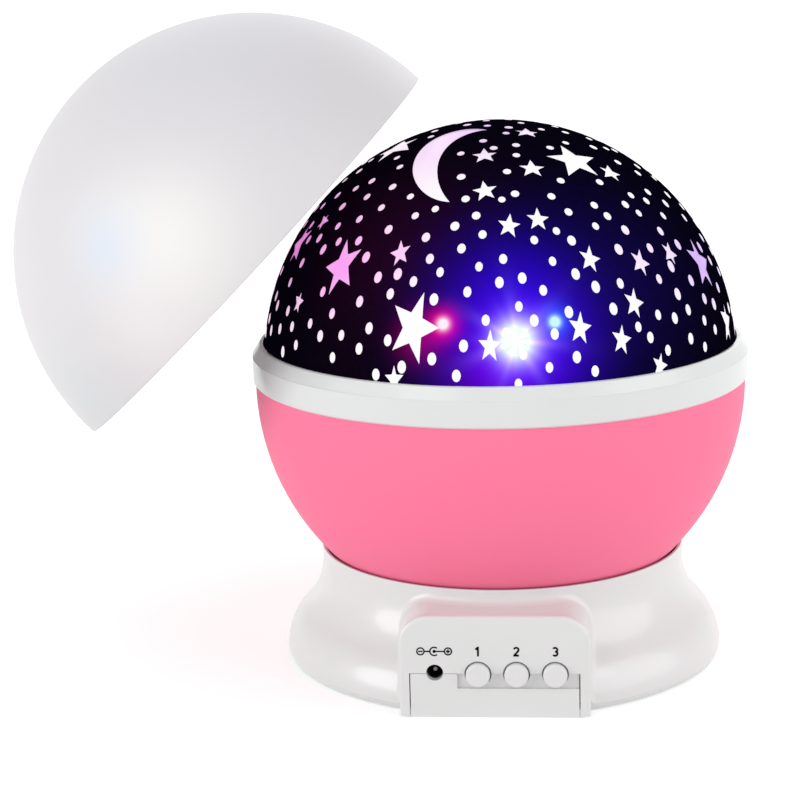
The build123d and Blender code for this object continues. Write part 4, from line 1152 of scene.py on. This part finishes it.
@dataclass
class Studio:
    """The pale floor, the soft lights and the camera."""

    half_floor: float = 9.0
    floor_height: float = -0.0001
    aim: float = 0.07
    distance: float = 0.5714
    height: float = 0.1969
    turn: float = 2.3
    yaw: float = 2.534
    pitch: float = 13.022
    roll: float = -1.4087
    lens: float = 104.18
    sensor: float = 36.0
    clip: Spot = (0.02, 60.0)
    sky: float = 0.66

    def build(self) -> None:
        """Makes the floor, the world, the lights and the camera."""
        self.floor()
        self.world()
        self.sun("key_light", (-64.0, 13.0), 1.10, 35.0)
        self.sun("fill_light", (73.0, 11.0), 1.2, 60.0)
        self.sun("back_light", (175.0, 38.0), 0.45, 60.0)
        self.soft_box("soft_box_left", (-0.55, -0.75, 0.75), 0.45, 1.0)
        self.soft_box("soft_box_right", (0.70, -0.55, 0.55), 0.35, 0.6)
        self.camera()

    def floor(self) -> None:
        """Makes the floor just under the feet."""
        mesh = bpy.data.meshes.new("studio_floor")
        h, z = self.half_floor, self.floor_height
        corners = [(-h, -h, z), (h, -h, z), (h, h, z), (-h, h, z)]
        mesh.from_pydata(corners, [], [(0, 1, 2, 3)])
        mesh.materials.append(StudioFloor("studio_floor").material())
        new_object("studio_floor", mesh)

    def world(self) -> None:
        """Makes the sky plain white to look at and softer as a light."""
        world = bpy.data.worlds.new("studio_world")
        world.use_nodes = True
        world.node_tree.nodes.clear()
        graph = Graph(world.node_tree)
        seen = graph.ray("Is Camera Ray") + graph.ray("Is Glossy Ray") + graph.ray("Is Transmission Ray")
        strength = graph.math("MINIMUM", seen, 1.0) * (1.0 - self.sky) + self.sky
        sky = graph.add("ShaderNodeBackground", {}, {"Color": (*WHITE, 1.0), "Strength": strength})
        graph.close("ShaderNodeOutputWorld", sky)
        bpy.context.scene.world = world

    def sun(self, name: str, place: Spot, strength: float, softness: float) -> None:
        """Adds a wide sun.

        Args:
            name: the light's name.
            place: its azimuth from the front and its height, in degrees.
            strength: its light on a surface that faces it.
            softness: the angle that it covers, in degrees.
        """
        light = bpy.data.lights.new(name, "SUN")
        light.energy = strength
        light.angle = math.radians(softness)
        lamp = new_object(name, light)
        lamp.rotation_euler = heading(*place).to_track_quat("Z", "Y").to_euler()

    def soft_box(self, name: str, place: tuple[float, float, float], side: float, power: float) -> None:
        """Adds a square soft box that faces the lamp.

        Args:
            name: the light's name.
            place: the middle of the box.
            side: the length of its sides.
            power: its power in watts.
        """
        light = bpy.data.lights.new(name, "AREA")
        light.size = side
        light.energy = power
        lamp = new_object(name, light)
        lamp.location = place
        away = Vector(place) - Vector((0, 0, self.aim))
        lamp.rotation_euler = away.to_track_quat("Z", "Y").to_euler()

    def camera(self) -> None:
        """Puts the camera in front of the lamp, a little above it."""
        data = bpy.data.cameras.new("camera")
        data.lens, data.sensor_width = self.lens, self.sensor
        data.clip_start, data.clip_end = self.clip
        camera = new_object("camera", data)
        place = Matrix.Translation((0.0, -self.distance, self.height))
        look = turned(self.yaw, "Z") @ turned(90.0 - self.pitch, "X") @ turned(self.roll, "Z")
        camera.matrix_world = turned(self.turn, "Z") @ place @ look
        bpy.context.scene.camera = camera


def main() -> None:
    """Builds the night light group by group, then the studio round it."""
    logging.basicConfig(level=logging.INFO, format="%(name)s: %(message)s")
    groups = (Housing, ControlPanel, Globe, StarDome, FrostedCover, PowerPack, Controls, Drive, LampPost)
    for group in groups:
        LOG.info("building %s", group.__name__)
        group().build()
    Studio().build()
    bpy.context.scene.view_settings.view_transform = "Standard"


if __name__ == "__main__":
    main()
